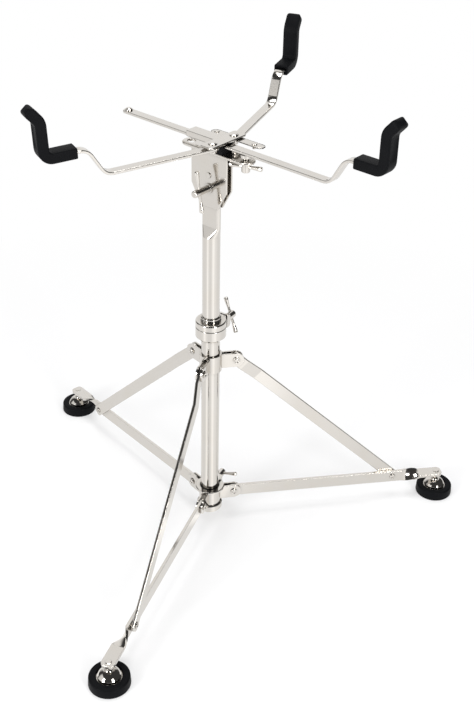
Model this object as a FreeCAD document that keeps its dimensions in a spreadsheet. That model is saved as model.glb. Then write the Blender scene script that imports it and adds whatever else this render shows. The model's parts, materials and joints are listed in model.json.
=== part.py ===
"""Snare drum stand: folding three-legged base, telescopic column and tilting three-armed basket.

Millimetres, +Z up. The origin is on the floor, on the axis of the column. The front leg points along -Y.
"""
import FreeCAD
import Part
import Sketcher
import math
import os
from types import SimpleNamespace

# Driving dimensions: name and value, in millimetres and degrees
SIZES = {
    # Column
    "base_tube_radius": 10.85,
    "base_tube_wall": 0.75,
    "base_tube_bottom": 16,
    "base_tube_over_pivot": 38,
    "base_cap_wall": 4.65,
    "base_cap_floor": 4,
    "base_cap_lap": 6.5,
    "base_cap_round": 3.5,
    "base_cap_bevel": 1.2,
    "tube_slack": 0.1,
    "upper_tube_wall": 1.2,
    "upper_tube_insert": 126,
    "flat_drop": 72,
    "flat_taper": 11,
    "flat_apex": 14,
    "flat_width": 24.8,
    "flat_thickness": 5.6,
    "flat_top": 10,
    # Height clamp
    "clamp_wall": 6.95,
    "clamp_lap": 5.5,
    "clamp_height": 23.5,
    "clamp_cone": 3.5,
    "clamp_groove": 0.6,
    "clamp_groove_place": 15.5,
    "clamp_bevel": 2,
    "clamp_boss_reach": 31,
    "clamp_boss_width": 12,
    "clamp_boss_tip": 15,
    "clamp_boss_round": 3.75,
    "clamp_slit_place": 23,
    "clamp_slit": 3.2,
    "clamp_slit_web": 2.6,
    "height_bolt_rise": 9.9,
    "height_bolt_yaw": 75.7,
    "height_bolt_roll": -20.2,
    "collar_step": 1,
    "collar_rise": 5.5,
    "collar_groove": 0.9,
    # Legs
    "front_leg_yaw": -90,
    "foot_circle_radius": 297,
    "hub_pivot_radius": 30,
    "upper_pivot_height": 230,
    "lower_pivot_height": 34.5,
    "knee_inset": 59,
    "knee_height": 30.8,
    "leg_thickness": 3.6,
    "upper_leg_width": 14.8,
    "lower_leg_width": 15.3,
    "leg_end": 7.5,
    "leg_corner": 5,
    "leg_side_gap": 0.4,
    "joggle_start": 14,
    "joggle_end": 38,
    "twist_gap": 12,
    "twist_length": 24,
    "tongue_end": 6.5,
    "tongue_corner": 5,
    # Leg hubs
    "ear_radius": 9,
    "ear_thickness": 2,
    "ear_play": 0.3,
    "hub_wall": 2.35,
    "upper_hub_height": 22,
    "lower_hub_rise": 12,
    "lower_flange_step": 6.9,
    "lower_flange_height": 3,
    "lower_flange_bevel": 0.8,
    "lower_recess_gap": 1.35,
    "lower_recess_depth": 6,
    "leg_boss_reach": 21,
    "leg_boss_width": 16,
    "leg_boss_height": 12,
    "leg_boss_round": 3,
    "leg_bolt_rise": 8.5,
    "leg_bolt_yaw": 83,
    "leg_bolt_roll": 74,
    # Rivets and pins
    "pin_radius": 2.6,
    "pin_head_radius": 4.2,
    "pin_head_height": 1.1,
    "knee_rivet_radius": 2.8,
    "knee_head_radius": 3.9,
    "knee_head_height": 0.8,
    # Feet
    "foot_radius": 23,
    "foot_height": 12,
    "foot_round": 1.5,
    "foot_recess_gap": 0.6,
    "foot_recess_depth": 3,
    "dome_flange_radius": 14,
    "dome_flange_height": 1.4,
    "dome_bead_radius": 13,
    "dome_bead_height": 4.5,
    "dome_crease_radius": 11.4,
    "dome_crease_height": 6.5,
    "dome_mouth_radius": 4.6,
    "dome_lip": 1.2,
    "ball_radius": 5,
    "ball_rise": 5.5,
    "stud_neck_radius": 2.2,
    "stud_collar_radius": 5.7,
    "stud_collar_height": 1.2,
    "stud_shank_radius": 2.5,
    "stud_head_radius": 3.6,
    "stud_head_height": 0.5,
    # T-bolts
    "bolt_radius": 3,
    "bolt_flange_radius": 5.6,
    "bolt_flange_height": 1.6,
    "bolt_barrel_radius": 4.6,
    "bolt_barrel_length": 13,
    "bolt_bar_place": 8,
    "tilt_barrel_radius": 3.9,
    "tilt_barrel_length": 22,
    "tilt_bar_place": 13,
    "arm_barrel_length": 9,
    "arm_bar_place": 3,
    "arm_bar_length": 36,
    "bolt_end_round": 1.5,
    "bar_radius": 1.7,
    "bar_length": 45,
    "bar_bulb_radius": 2.6,
    "bar_bulb_length": 3,
    "bar_bulb_bevel": 0.6,
    "bar_taper": 9,
    # Tilter
    "basket_yaw": -21.1,
    "tilt_pivot_height": 464,
    "tilt_bolt_drop": 14.7,
    "tilt_range": 20,
    "cheek_half_width": 25.2,
    "cheek_side_drop": 14,
    "cheek_drop": 37,
    "cheek_bottom_half_width": 12.5,
    "cheek_corner": 4,
    "cheek_thickness": 2,
    "tilter_web": 3,
    "tilt_pivot_radius": 2,
    "tilt_pivot_head_radius": 3,
    "tilt_pivot_head_height": 1,
    "tilt_bolt_roll": 10,
    "nut_width": 10,
    "nut_height": 5,
    # Basket hub
    "plate_rise": 26.5,
    "plate_thickness": 3,
    "plate_radius": 10,
    "plate_ring_place": -29,
    "plate_ring_bore": 4.5,
    "arm_bolt_place": 46.6,
    "arm_bolt_roll": -18.8,
    "bridge_place": 15.7,
    "arm_pivot_side": 16.5,
    "arm_over_plate": 6.5,
    "bridge_gap": 1.4,
    "bridge_thickness": 2.6,
    "bridge_half_width": 8.5,
    "bridge_end": 11.5,
    "bridge_corner": 4,
    "bridge_tongue_end": -30,
    "bridge_tongue_width": 15.4,
    "bridge_lip": 1.5,
    "bridge_lip_drop": 4,
    "pivot_radius": 3,
    "pivot_play": 0.3,
    "pivot_head_gap": 0.4,
    "pivot_head_radius": 4.7,
    "pivot_head_height": 1.6,
    "stop_plate_thickness": 1.1,
    "stop_plate_half_width": 5.5,
    "stop_plate_left": -9,
    "stop_plate_right": 51,
    "stop_pin_left": -8,
    "stop_pin_right": 43.6,
    "stop_pin_radius": 2,
    "stop_pin_head_radius": 2.8,
    "stop_pin_head_height": 0.7,
    "guide_block_length": 10,
    "guide_block_wall": 2.3,
    "guide_play": 0.35,
    "clamp_pad_radius": 6.5,
    "clamp_pad_thickness": 3.5,
    # Arms and grips
    "arm_width": 11.1,
    "arm_thickness": 3.2,
    "arm_end": 6.5,
    "arm_corner": 5,
    "arm_bend_radius": 12,
    "arm_rise": 29.6,
    "arm_rise_angle": 60,
    "arm_bend_gap": 10,
    "swing_arm_reach": 179.5,
    "sliding_arm_reach": 216.3,
    "sliding_arm_tail": -129,
    "left_arm_yaw": -132.5,
    "left_arm_droop": 2.4,
    "back_arm_yaw": 89,
    "stop_screw_inset": 6.5,
    "stop_screw_head_radius": 4.2,
    "stop_screw_head_height": 2.6,
    "grip_width": 16.2,
    "grip_thickness": 11.2,
    "grip_corner": 2.4,
    "grip_sleeve": 33,
    "grip_foot_bend": 9,
    "grip_riser": 45.2,
    "grip_tip_bend": 12,
    "grip_tip_angle": 41,
    "grip_tip_length": 13,
    "grip_end_round": 2.2,
    "grip_core_stop": 9,
    # Fits
    "run_fit": 0.06,
    "still_fit": 0.03,
    "flat_play": 0.15,
    "tip_gap": 0.5,
    "overrun": 2,
}

LEG_NAMES = ("front", "right", "left")
TURN = 360
TWIST_STEPS = 4
QUARTER_TURN = 90
NUT_SIDES = 6
SKETCH_AXES = ("horizontal", "vertical")
H_AXIS = ~SKETCH_AXES.index("horizontal")
V_AXIS = ~SKETCH_AXES.index("vertical")
ORIGIN = H_AXIS
SKETCH_POINTS = ("edge", "start", "end", "centre")
START = SKETCH_POINTS.index("start")
END = SKETCH_POINTS.index("end")
CENTRE = SKETCH_POINTS.index("centre")
NODES = {}
SAME_PLACE = 1e-4
SAME_DIRECTION = 1e-6

doc = FreeCAD.newDocument("snare_stand")


class Size:
    """A value that keeps the sheet expression that drives it."""

    def __init__(self, text, value):
        self.text = text
        self.value = value

    def __add__(self, other):
        return Size("(%s + %s)" % (self.text, text_of(other)), self.value + value_of(other))

    def __sub__(self, other):
        return Size("(%s - %s)" % (self.text, text_of(other)), self.value - value_of(other))

    def __mul__(self, other):
        return Size("(%s * %s)" % (self.text, text_of(other)), self.value * value_of(other))

    def __truediv__(self, other):
        return Size("(%s / %s)" % (self.text, text_of(other)), self.value / value_of(other))

    def __neg__(self):
        return Size("(0 - %s)" % self.text, -self.value)

    __rmul__ = __mul__


def text_of(size):
    return size.text if isinstance(size, Size) else repr(size)


def value_of(size):
    return size.value if isinstance(size, Size) else size


def sine(angle):
    return Size("sin(%s)" % angle.text, math.sin(math.radians(angle.value)))


def cosine(angle):
    return Size("cos(%s)" % angle.text, math.cos(math.radians(angle.value)))


def tangent(angle):
    return Size("tan(%s)" % angle.text, math.tan(math.radians(angle.value)))


def slope(rise, run):
    ratio = rise / run
    return Size("atan(%s)" % ratio.text, math.degrees(math.atan(ratio.value)))


def hypotenuse(one, other):
    return Size("hypot(%s; %s)" % (one.text, other.text), math.hypot(one.value, other.value))


def leg_of_triangle(hypotenuse_size, other):
    square = hypotenuse_size * hypotenuse_size - other * other
    return Size("sqrt(%s)" % square.text, math.sqrt(square.value))


def read_sizes():
    """Put the driving dimensions into a sheet and give them back as bound sizes."""
    sheet = doc.addObject("Spreadsheet::Sheet", "dims")
    sizes = SimpleNamespace()
    for row, (name, value) in enumerate(SIZES.items(), start=1):
        sheet.set("A%d" % row, name)
        sheet.set("B%d" % row, str(value))
        sheet.setAlias("B%d" % row, name)
        setattr(sizes, name, Size("dims." + name, value))
    doc.recompute()
    return sizes


dim = read_sizes()

# Sizes that several pieces share
ear_gap = dim.leg_thickness + 2 * dim.ear_play
ear_width = ear_gap + 2 * dim.ear_thickness
base_tube_top = dim.upper_pivot_height + dim.base_tube_over_pivot
base_cap_top = dim.base_tube_bottom + dim.base_cap_lap
upper_tube_radius = dim.base_tube_radius - dim.base_tube_wall - dim.tube_slack
clamp_radius = dim.base_tube_radius + dim.clamp_wall
clamp_bottom = base_tube_top - dim.clamp_lap
clamp_top = clamp_bottom + dim.clamp_height
height_bolt_height = clamp_bottom + dim.height_bolt_rise
collar_radius = dim.base_tube_radius + dim.collar_step
hub_radius = dim.base_tube_radius + dim.hub_wall
leg_bolt_height = dim.lower_pivot_height + dim.leg_bolt_rise
knee_radius = dim.foot_circle_radius - dim.knee_inset
leg_run = knee_radius - dim.hub_pivot_radius
upper_drop = dim.upper_pivot_height - dim.knee_height
lower_drop = dim.lower_pivot_height - dim.knee_height
upper_leg_length = hypotenuse(leg_run, upper_drop)
lower_leg_length = hypotenuse(leg_run, lower_drop)
upper_leg_pitch = slope(upper_drop, leg_run)
lower_leg_pitch = slope(lower_drop, leg_run)
leg_offset = dim.leg_thickness + dim.leg_side_gap
foot_run = dim.foot_circle_radius - dim.hub_pivot_radius
ball_height = dim.foot_height + dim.ball_rise
foot_recess_floor = dim.foot_height - dim.foot_recess_depth
foot_drop = dim.lower_pivot_height - ball_height
stud_place = foot_run * cosine(lower_leg_pitch) + foot_drop * sine(lower_leg_pitch)
stud_rise = foot_drop * cosine(lower_leg_pitch) - foot_run * sine(lower_leg_pitch)
cheek_gap = dim.flat_thickness + 2 * dim.flat_play
tilter_width = cheek_gap + 2 * dim.cheek_thickness
tilt_bolt_height = dim.tilt_pivot_height - dim.tilt_bolt_drop
plate_bottom = dim.tilt_pivot_height + dim.plate_rise
plate_top = plate_bottom + dim.plate_thickness
arm_bottom = plate_top + dim.arm_over_plate
arm_middle = arm_bottom + dim.arm_thickness / 2
arm_top = arm_bottom + dim.arm_thickness
bridge_bottom = arm_top + dim.bridge_gap
bridge_top = bridge_bottom + dim.bridge_thickness
stop_plate_bottom = bridge_bottom - dim.stop_plate_thickness


def new_body(name):
    body = doc.addObject("PartDesign::Body", name)
    body.AllowCompound = True
    NODES[name] = body
    return body


def origin_feature(body, role):
    for feature in body.Origin.OriginFeatures:
        if feature.Role == role:
            return feature
    raise ValueError("no origin feature " + role)


def sketch_on(body, role, offset=0, turn=0, swing=0, along=0):
    """A sketch on one of the body's own planes.

    It is shifted by offset along the plane's normal and by along on its own X, turned by turn about
    the normal, or swung by swing about its own Y.
    """
    sketch = body.newObject("Sketcher::SketchObject", body.Name + "_sketch")
    sketch.AttachmentSupport = [(origin_feature(body, role), "")]
    sketch.MapMode = "FlatFace"
    spot = "vector(%s; 0; %s)" % (text_of(along), text_of(offset))
    axis, angle = ("vector(0; 1; 0)", swing) if swing else ("vector(0; 0; 1)", turn)
    shift = "placement(%s; rotation(%s; %s))" % (spot, axis, text_of(angle))
    sketch.setExpression("AttachmentOffset", shift)
    return sketch


def hold(sketch, index, point, x, y):
    """Pin one point of a sketch at x and y, measured from the sketch's origin."""
    for kind, axis, place in (("DistanceX", V_AXIS, x), ("DistanceY", H_AXIS, y)):
        if isinstance(place, Size):
            number = sketch.addConstraint(Sketcher.Constraint(kind, ORIGIN, START, index, point, place.value))
            sketch.setExpression("Constraints[%d]" % number, place.text)
        else:
            sketch.addConstraint(Sketcher.Constraint("PointOnObject", index, point, axis))


def hold_centre(sketch, index, x, y, level_chord):
    """Pin an arc's centre along the one direction that its two held ends leave free."""
    kind, axis, place = ("DistanceY", H_AXIS, y) if level_chord else ("DistanceX", V_AXIS, x)
    if isinstance(place, Size):
        number = sketch.addConstraint(Sketcher.Constraint(kind, ORIGIN, START, index, CENTRE, place.value))
        sketch.setExpression("Constraints[%d]" % number, place.text)
    else:
        sketch.addConstraint(Sketcher.Constraint("PointOnObject", index, CENTRE, axis))


def vector(x, y):
    return FreeCAD.Vector(value_of(x), value_of(y), 0)


def arc_between(start, end, centre, anticlockwise):
    first, last = (start, end) if anticlockwise else (end, start)
    circle = Part.Circle(centre, FreeCAD.Vector(0, 0, 1), (start - centre).Length)
    angles = [math.atan2(point.y - centre.y, point.x - centre.x) for point in (first, last)]
    if angles[1] <= angles[0]:
        angles[1] += 2 * math.pi
    return Part.ArcOfCircle(circle, angles[0], angles[1])


def trace(sketch, start, steps, closed=True):
    """Draw an outline: a step is a point for a line, or a point, a centre and a sense for an arc."""
    spots = [start] + [step[:2] for step in steps]
    ends = []
    for number, step in enumerate(steps):
        last = closed and number == len(steps) - 1
        here = vector(*spots[number])
        there = vector(*(spots[0] if last else spots[number + 1]))
        if len(step) == 2:
            index = sketch.addGeometry(Part.LineSegment(here, there))
            ends.append((index, START, END))
            continue
        x, y, centre_x, centre_y, anticlockwise = step
        index = sketch.addGeometry(arc_between(here, there, vector(centre_x, centre_y), anticlockwise))
        ends.append((index, START, END) if anticlockwise else (index, END, START))
        level_chord = abs(here.y - there.y) < abs(here.x - there.x) * SAME_DIRECTION
        hold_centre(sketch, index, centre_x, centre_y, level_chord)
    for (index, _, leave), (follower, enter, _) in zip(ends, ends[1:]):
        sketch.addConstraint(Sketcher.Constraint("Coincident", index, leave, follower, enter))
    if closed:
        (first, enter, _), (index, _, leave) = ends[0], ends[-1]
        sketch.addConstraint(Sketcher.Constraint("Coincident", index, leave, first, enter))
    hold(sketch, ends[0][0], ends[0][1], *start)
    for (index, _, leave), spot in list(zip(ends, spots[1:]))[: -1 if closed else None]:
        hold(sketch, index, leave, *spot)
    return sketch


def polygon(sketch, points):
    return trace(sketch, points[0], points[1:] + [points[0]])


def circle(sketch, x, y, radius):
    shape = Part.Circle(vector(x, y), FreeCAD.Vector(0, 0, 1), radius.value)
    index = sketch.addGeometry(shape)
    hold(sketch, index, CENTRE, x, y)
    number = sketch.addConstraint(Sketcher.Constraint("Radius", index, radius.value))
    sketch.setExpression("Constraints[%d]" % number, radius.text)
    return sketch


def rectangle(sketch, left, bottom, right, top):
    return polygon(sketch, [(left, bottom), (right, bottom), (right, top), (left, top)])


def tongue(sketch, left, middle_x, middle_y, radius):
    """A strip that starts square at left and ends in a half circle."""
    low, high = middle_y - radius if middle_y else -radius, middle_y + radius if middle_y else radius
    steps = [(middle_x, low), (middle_x, high, middle_x, middle_y, True), (left, high), (left, low)]
    return trace(sketch, (left, low), steps)


def slot(sketch, one, other, radius):
    """A strip with two half-circle ends, between two middles on a line along X or along Y."""
    (x_one, y_one), (x_other, y_other) = one, other
    if x_one is x_other:
        low, high = x_one - radius if x_one else -radius, x_one + radius if x_one else radius
        steps = [
            (high, y_one, x_one, y_one, True),
            (high, y_other),
            (low, y_other, x_one, y_other, True),
            (low, y_one),
        ]
        return trace(sketch, (low, y_one), steps)
    low, high = y_one - radius if y_one else -radius, y_one + radius if y_one else radius
    steps = [
        (x_other, low),
        (x_other, high, x_other, y_one, True),
        (x_one, high),
        (x_one, low, x_one, y_one, True),
    ]
    return trace(sketch, (x_one, low), steps)


def add_feature(body, kind, profile, length=None, symmetric=False, reverse=False):
    feature = body.newObject("PartDesign::" + kind, body.Name + "_" + kind.lower())
    feature.Profile = profile
    if symmetric:
        feature.SideType = "Symmetric"
    if length is None:
        feature.Type = "ThroughAll"
    else:
        feature.setExpression("Length", length.text)
    feature.Reversed = reverse
    return feature


def pad(body, profile, length, symmetric=False, reverse=False):
    return add_feature(body, "Pad", profile, length, symmetric, reverse)


def pocket(body, profile, length=None, symmetric=False, reverse=False):
    doc.recompute()
    before = body.Shape.Volume
    feature = add_feature(body, "Pocket", profile, length, symmetric, reverse)
    doc.recompute()
    if not body.Shape.Volume < before:
        raise ValueError("a cut in %s removed nothing" % body.Label)
    return feature


def revolve(body, profile, axis="V_Axis"):
    feature = body.newObject("PartDesign::Revolution", body.Name + "_revolution")
    feature.Profile = profile
    feature.ReferenceAxis = (profile, [axis])
    feature.Angle = TURN
    return feature


def polar(body, originals, count):
    feature = body.newObject("PartDesign::PolarPattern", body.Name + "_pattern")
    feature.Originals = originals
    feature.Axis = (origin_feature(body, "Z_Axis"), [""])
    feature.Angle = TURN
    feature.Occurrences = count
    body.Tip = feature
    return feature


def pair_along_y(body, originals, distance):
    feature = body.newObject("PartDesign::LinearPattern", body.Name + "_pair")
    feature.Originals = originals
    feature.Direction = (origin_feature(body, "Y_Axis"), [""])
    feature.setExpression("Length", distance.text)
    feature.Occurrences = 2
    body.Tip = feature
    return feature


def fillet(body, radius, chosen):
    """Round the edges of the body's tip for which chosen(edge) is true."""
    doc.recompute()
    base = body.Tip
    names = ["Edge%d" % number for number, edge in enumerate(base.Shape.Edges, start=1) if chosen(edge)]
    if not names:
        raise ValueError("no edge to round in " + body.Label)
    feature = body.newObject("PartDesign::Fillet", body.Name + "_fillet")
    feature.Base = (base, names)
    feature.setExpression("Radius", radius.text)
    return feature


def near(value, size):
    return abs(value - value_of(size)) < SAME_PLACE


def runs_along(edge, axis):
    return edge.Curve.TypeId == "Part::GeomLine" and abs(edge.Curve.Direction.dot(axis)) > 1 - SAME_DIRECTION


def edges_at(direction, coordinate, *places):
    """A test for straight edges along a direction whose middles are at one of these places."""

    def test(edge):
        middle = getattr(edge.CenterOfMass, coordinate)
        return runs_along(edge, direction) and any(near(middle, spot) for spot in places)

    return test


def rings_at(radius, *heights):
    """A test for circles of one radius at these heights."""

    def test(edge):
        if edge.Curve.TypeId != "Part::GeomCircle" or not near(edge.Curve.Radius, radius):
            return False
        return any(near(edge.Curve.Center.z, height) for height in heights)

    return test


def place(piece, base=(0, 0, 0), yaw=0, pitch=0, roll=0):
    spot = "vector(%s; %s; %s)" % tuple(text_of(part) for part in base)
    turn = "rotation(%s; %s; %s)" % (text_of(yaw), text_of(pitch), text_of(roll))
    piece.setExpression("Placement", "placement(%s; %s)" % (spot, turn))


def polar_spot(radius, yaw, height):
    return (radius * cosine(yaw), radius * sine(yaw), height)


def basket_spot(along, side, height):
    """A point given along and across the sliding arm."""
    yaw = dim.basket_yaw
    x = along * cosine(yaw)
    y = along * sine(yaw)
    if side:
        return (x - side * sine(yaw), y + side * cosine(yaw), height)
    return (x, y, height)


def leg_yaws():
    step = TURN / len(LEG_NAMES)
    return [(name, dim.front_leg_yaw + step * number) for number, name in enumerate(LEG_NAMES)]


# Axes for picking edges
X = FreeCAD.Vector(1, 0, 0)
Y = FreeCAD.Vector(0, 1, 0)
Z = FreeCAD.Vector(0, 0, 1)


def tube_section(body, bottom, outer, inner):
    sketch = sketch_on(body, "XY_Plane", bottom)
    circle(sketch, 0, 0, outer)
    return circle(sketch, 0, 0, inner)


def make_base_tube():
    body = new_body("base_tube")
    inner = dim.base_tube_radius - dim.base_tube_wall
    section = tube_section(body, dim.base_tube_bottom, dim.base_tube_radius, inner)
    pad(body, section, base_tube_top - dim.base_tube_bottom)


def make_base_cap():
    """Rounded cup under the tube, whose rim stops the lower leg hub."""
    body = new_body("base_cap")
    bore = dim.base_tube_radius + dim.still_fit
    radius = dim.base_tube_radius + dim.base_cap_wall
    low = dim.base_tube_bottom - dim.base_cap_floor
    flat = radius - dim.base_cap_round
    side = low + dim.base_cap_round
    steps = [
        (flat, low),
        (radius, side, flat, side, True),
        (radius, base_cap_top - dim.base_cap_bevel),
        (radius - dim.base_cap_bevel, base_cap_top),
        (bore, base_cap_top),
        (bore, dim.base_tube_bottom),
        (0, dim.base_tube_bottom),
        (0, low),
    ]
    revolve(body, trace(sketch_on(body, "XZ_Plane"), (0, low), steps))


def make_height_clamp():
    """Two-banded ring on the tube, with a slit boss for the height bolt."""
    body = new_body("height_clamp")
    tube_bore = dim.base_tube_radius + dim.still_fit
    collar_bore = collar_radius + dim.run_fit
    groove = clamp_bottom + dim.clamp_groove_place
    shoulder = clamp_radius - dim.clamp_bevel
    brow = clamp_top - dim.clamp_bevel
    steps = [
        (clamp_radius - dim.clamp_cone, clamp_bottom),
        (clamp_radius, clamp_bottom + dim.clamp_cone),
        (clamp_radius, groove - dim.clamp_groove),
        (clamp_radius - dim.clamp_groove, groove),
        (clamp_radius, groove + dim.clamp_groove),
        (clamp_radius, brow),
        (shoulder, clamp_top, shoulder, brow, True),
        (collar_bore, clamp_top),
        (collar_bore, base_tube_top),
        (tube_bore, base_tube_top),
        (tube_bore, clamp_bottom),
    ]
    revolve(body, trace(sketch_on(body, "XZ_Plane"), (tube_bore, clamp_bottom), steps))
    root = (collar_bore + clamp_radius) / 2
    reach = dim.clamp_boss_reach
    boss = [
        (root, clamp_bottom + dim.clamp_bevel),
        (reach, height_bolt_height - dim.clamp_boss_tip / 2),
        (reach, height_bolt_height + dim.clamp_boss_tip / 2),
        (root, brow),
    ]
    pad(body, polygon(sketch_on(body, "XZ_Plane"), boss), dim.clamp_boss_width, symmetric=True)
    fillet(body, dim.clamp_boss_round, edges_at(Y, "x", reach))
    bolt_hole(body, reach, height_bolt_height, dim.base_tube_radius)
    slit = sketch_on(body, "XY_Plane")
    left = dim.clamp_slit_place - dim.clamp_slit / 2
    side = dim.clamp_boss_width / 2
    rectangle(slit, left, -side - dim.overrun, left + dim.clamp_slit, side - dim.clamp_slit_web)
    pocket(body, slit, symmetric=True)
    place(body, yaw=dim.height_bolt_yaw)


def bolt_hole(body, reach, height, depth_radius):
    """Hole from a boss's face in to the bore."""
    hole = sketch_on(body, "YZ_Plane", reach)
    circle(hole, 0, height, dim.bolt_radius + dim.run_fit)
    pocket(body, hole, reach - depth_radius)


def make_swivel_collar():
    """Stepped ring that guides the upper tube and turns with it."""
    body = new_body("swivel_collar")
    bore = upper_tube_radius + dim.run_fit
    groove = dim.collar_groove
    waist = collar_radius - groove
    lip = clamp_top + groove
    top = clamp_top + dim.collar_rise
    points = [
        (bore, base_tube_top),
        (collar_radius, base_tube_top),
        (collar_radius, lip),
        (waist, lip + groove),
        (waist, lip + 2 * groove),
        (collar_radius, lip + 3 * groove),
        (collar_radius, top - groove),
        (waist, top),
        (bore, top),
    ]
    revolve(body, polygon(sketch_on(body, "XZ_Plane"), points))


def make_upper_tube():
    """Round tube whose top is pressed flat, with the tilt pivot's hole and the tilt bolt's slot."""
    body = new_body("upper_tube")
    radius = upper_tube_radius
    bottom = base_tube_top - dim.upper_tube_insert
    flat_start = dim.tilt_pivot_height - dim.flat_drop
    flat_end = flat_start + dim.flat_taper
    pad(body, tube_section(body, bottom, radius, radius - dim.upper_tube_wall), flat_start - bottom)
    across = radius * sine(dim.flat_apex)
    front = radius * cosine(dim.flat_apex)
    corners = [(across, -front), (across, front), (-across, front), (-across, -front)]
    arcs = [spot + (0, 0, True) for spot in corners[1:] + corners[:1]]
    loft = body.newObject("PartDesign::AdditiveLoft", "upper_tube_loft")
    loft.Profile = trace(sketch_on(body, "XY_Plane", flat_start), corners[0], arcs)
    loft.Sections = [flattened_section(body, flat_end)]
    pad(body, flattened_section(body, flat_end), dim.tilt_pivot_height + dim.flat_top - flat_end)
    pivot = circle(sketch_on(body, "XZ_Plane"), 0, dim.tilt_pivot_height, dim.tilt_pivot_radius + dim.run_fit)
    pocket(body, pivot, symmetric=True)
    swing = dim.tilt_bolt_drop * sine(dim.tilt_range)
    lift = (dim.tilt_bolt_drop - dim.tilt_bolt_drop * cosine(dim.tilt_range)) / 2
    height = tilt_bolt_height + lift
    path = sketch_on(body, "XZ_Plane")
    slot(path, (-swing, height), (swing, height), dim.bolt_radius + dim.tip_gap + lift)
    pocket(body, path, symmetric=True)
    place(body, yaw=dim.basket_yaw)


def flattened_section(body, height):
    """Outline of the flattened tube: two flats joined by half circles, begun where the round end begins."""
    half = dim.flat_thickness / 2
    flat = dim.flat_width / 2 - half
    steps = [
        (flat, half, flat, 0, True),
        (-flat, half),
        (-flat, -half, -flat, 0, True),
        (flat, -half),
    ]
    return trace(sketch_on(body, "XY_Plane", height), (flat, -half), steps)


def rectangle_from(sketch, half_width, half_height):
    """A rectangle about the origin that starts at its lower right corner."""
    corners = [(half_width, -half_height), (half_width, half_height)]
    corners += [(-half_width, half_height), (-half_width, -half_height)]
    return polygon(sketch, corners)


def ear_features(body, height, swing=0):
    """One pair of ears: a rounded lug, the gap for the leg and the pin's hole."""
    root = (dim.base_tube_radius + hub_radius) / 2
    lug = sketch_on(body, "XZ_Plane", swing=swing)
    tongue(lug, root, dim.hub_pivot_radius, height, dim.ear_radius)
    lug_pad = pad(body, lug, ear_width, symmetric=True)
    gap = sketch_on(body, "XZ_Plane", swing=swing)
    far = dim.hub_pivot_radius + dim.ear_radius + dim.overrun
    rectangle(gap, hub_radius, height - dim.ear_radius, far, height + dim.ear_radius)
    gap_cut = pocket(body, gap, ear_gap, symmetric=True)
    hole = sketch_on(body, "XZ_Plane", swing=swing)
    circle(hole, dim.hub_pivot_radius, height, dim.pin_radius + dim.still_fit)
    hole_cut = pocket(body, hole, ear_width + dim.overrun, symmetric=True)
    return [lug_pad, gap_cut, hole_cut]


def make_upper_leg_hub():
    body = new_body("upper_leg_hub")
    bottom = dim.upper_pivot_height - dim.upper_hub_height / 2
    section = tube_section(body, bottom, hub_radius, dim.base_tube_radius + dim.still_fit)
    pad(body, section, dim.upper_hub_height)
    polar(body, ear_features(body, dim.upper_pivot_height), len(LEG_NAMES))
    place(body, yaw=dim.front_leg_yaw)


def make_lower_leg_hub():
    """Sliding hub: sleeve, rolled flange with a recess, three pairs of ears and the leg bolt's boss."""
    body = new_body("lower_leg_hub")
    bore = dim.base_tube_radius + dim.run_fit
    top = dim.lower_pivot_height + dim.lower_hub_rise
    flange = dim.base_tube_radius + dim.lower_flange_step
    bevel = dim.lower_flange_bevel
    under = top - dim.lower_flange_height
    floor = top - dim.lower_recess_depth
    points = [
        (0, base_cap_top),
        (hub_radius, base_cap_top),
        (hub_radius, under),
        (flange, under),
        (flange, top - bevel),
        (flange - bevel, top),
        (0, top),
    ]
    revolve(body, polygon(sketch_on(body, "XZ_Plane"), points))
    first_ear = dim.front_leg_yaw - dim.leg_bolt_yaw
    polar(body, ear_features(body, dim.lower_pivot_height, first_ear), len(LEG_NAMES))
    boss = sketch_on(body, "XZ_Plane")
    boss_bottom = leg_bolt_height - dim.leg_boss_height / 2
    boss_top = leg_bolt_height + dim.leg_boss_height / 2
    rectangle(boss, 0, boss_bottom, dim.leg_boss_reach, boss_top)
    pad(body, boss, dim.leg_boss_width, symmetric=True)
    fillet(body, dim.leg_boss_round, edges_at(Z, "x", dim.leg_boss_reach))
    pocket(body, circle(sketch_on(body, "XY_Plane"), 0, 0, bore), symmetric=True)
    recess = dim.base_tube_radius + dim.lower_recess_gap
    pocket(body, circle(sketch_on(body, "XY_Plane", floor), 0, 0, recess), reverse=True)
    bolt_hole(body, dim.leg_boss_reach, leg_bolt_height, dim.base_tube_radius)
    place(body, yaw=dim.leg_bolt_yaw)


def make_hub_pins(name, height):
    """Three headed pins, one through each pair of ears."""
    body = new_body(name)
    head = circle(sketch_on(body, "XZ_Plane"), dim.hub_pivot_radius, height, dim.pin_head_radius)
    whole = pad(body, head, ear_width + 2 * dim.pin_head_height, symmetric=True)
    ring = sketch_on(body, "XZ_Plane")
    circle(ring, dim.hub_pivot_radius, height, dim.pin_head_radius + dim.overrun)
    circle(ring, dim.hub_pivot_radius, height, dim.pin_radius)
    waist = pocket(body, ring, ear_width, symmetric=True)
    polar(body, [whole, waist], len(LEG_NAMES))
    place(body, yaw=dim.front_leg_yaw)


def mitre_shift(run, rise, thickness):
    """How far the far corner of a bend lies behind the near one."""
    return thickness * (hypotenuse(run, rise) - run) / rise


def bent_strip(sketch, start, bend, run, rise, end, thickness, base):
    """Side outline of a flat strip that steps over by rise, between two bends run apart."""
    shift = mitre_shift(run, rise, thickness)
    far = base + rise
    points = [
        (start, base),
        (bend, base),
        (bend + run, far),
        (end, far),
        (end, far + thickness),
        (bend + run - shift, far + thickness),
        (bend - shift, base + thickness),
        (start, base + thickness),
    ]
    return polygon(sketch, points)


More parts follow.
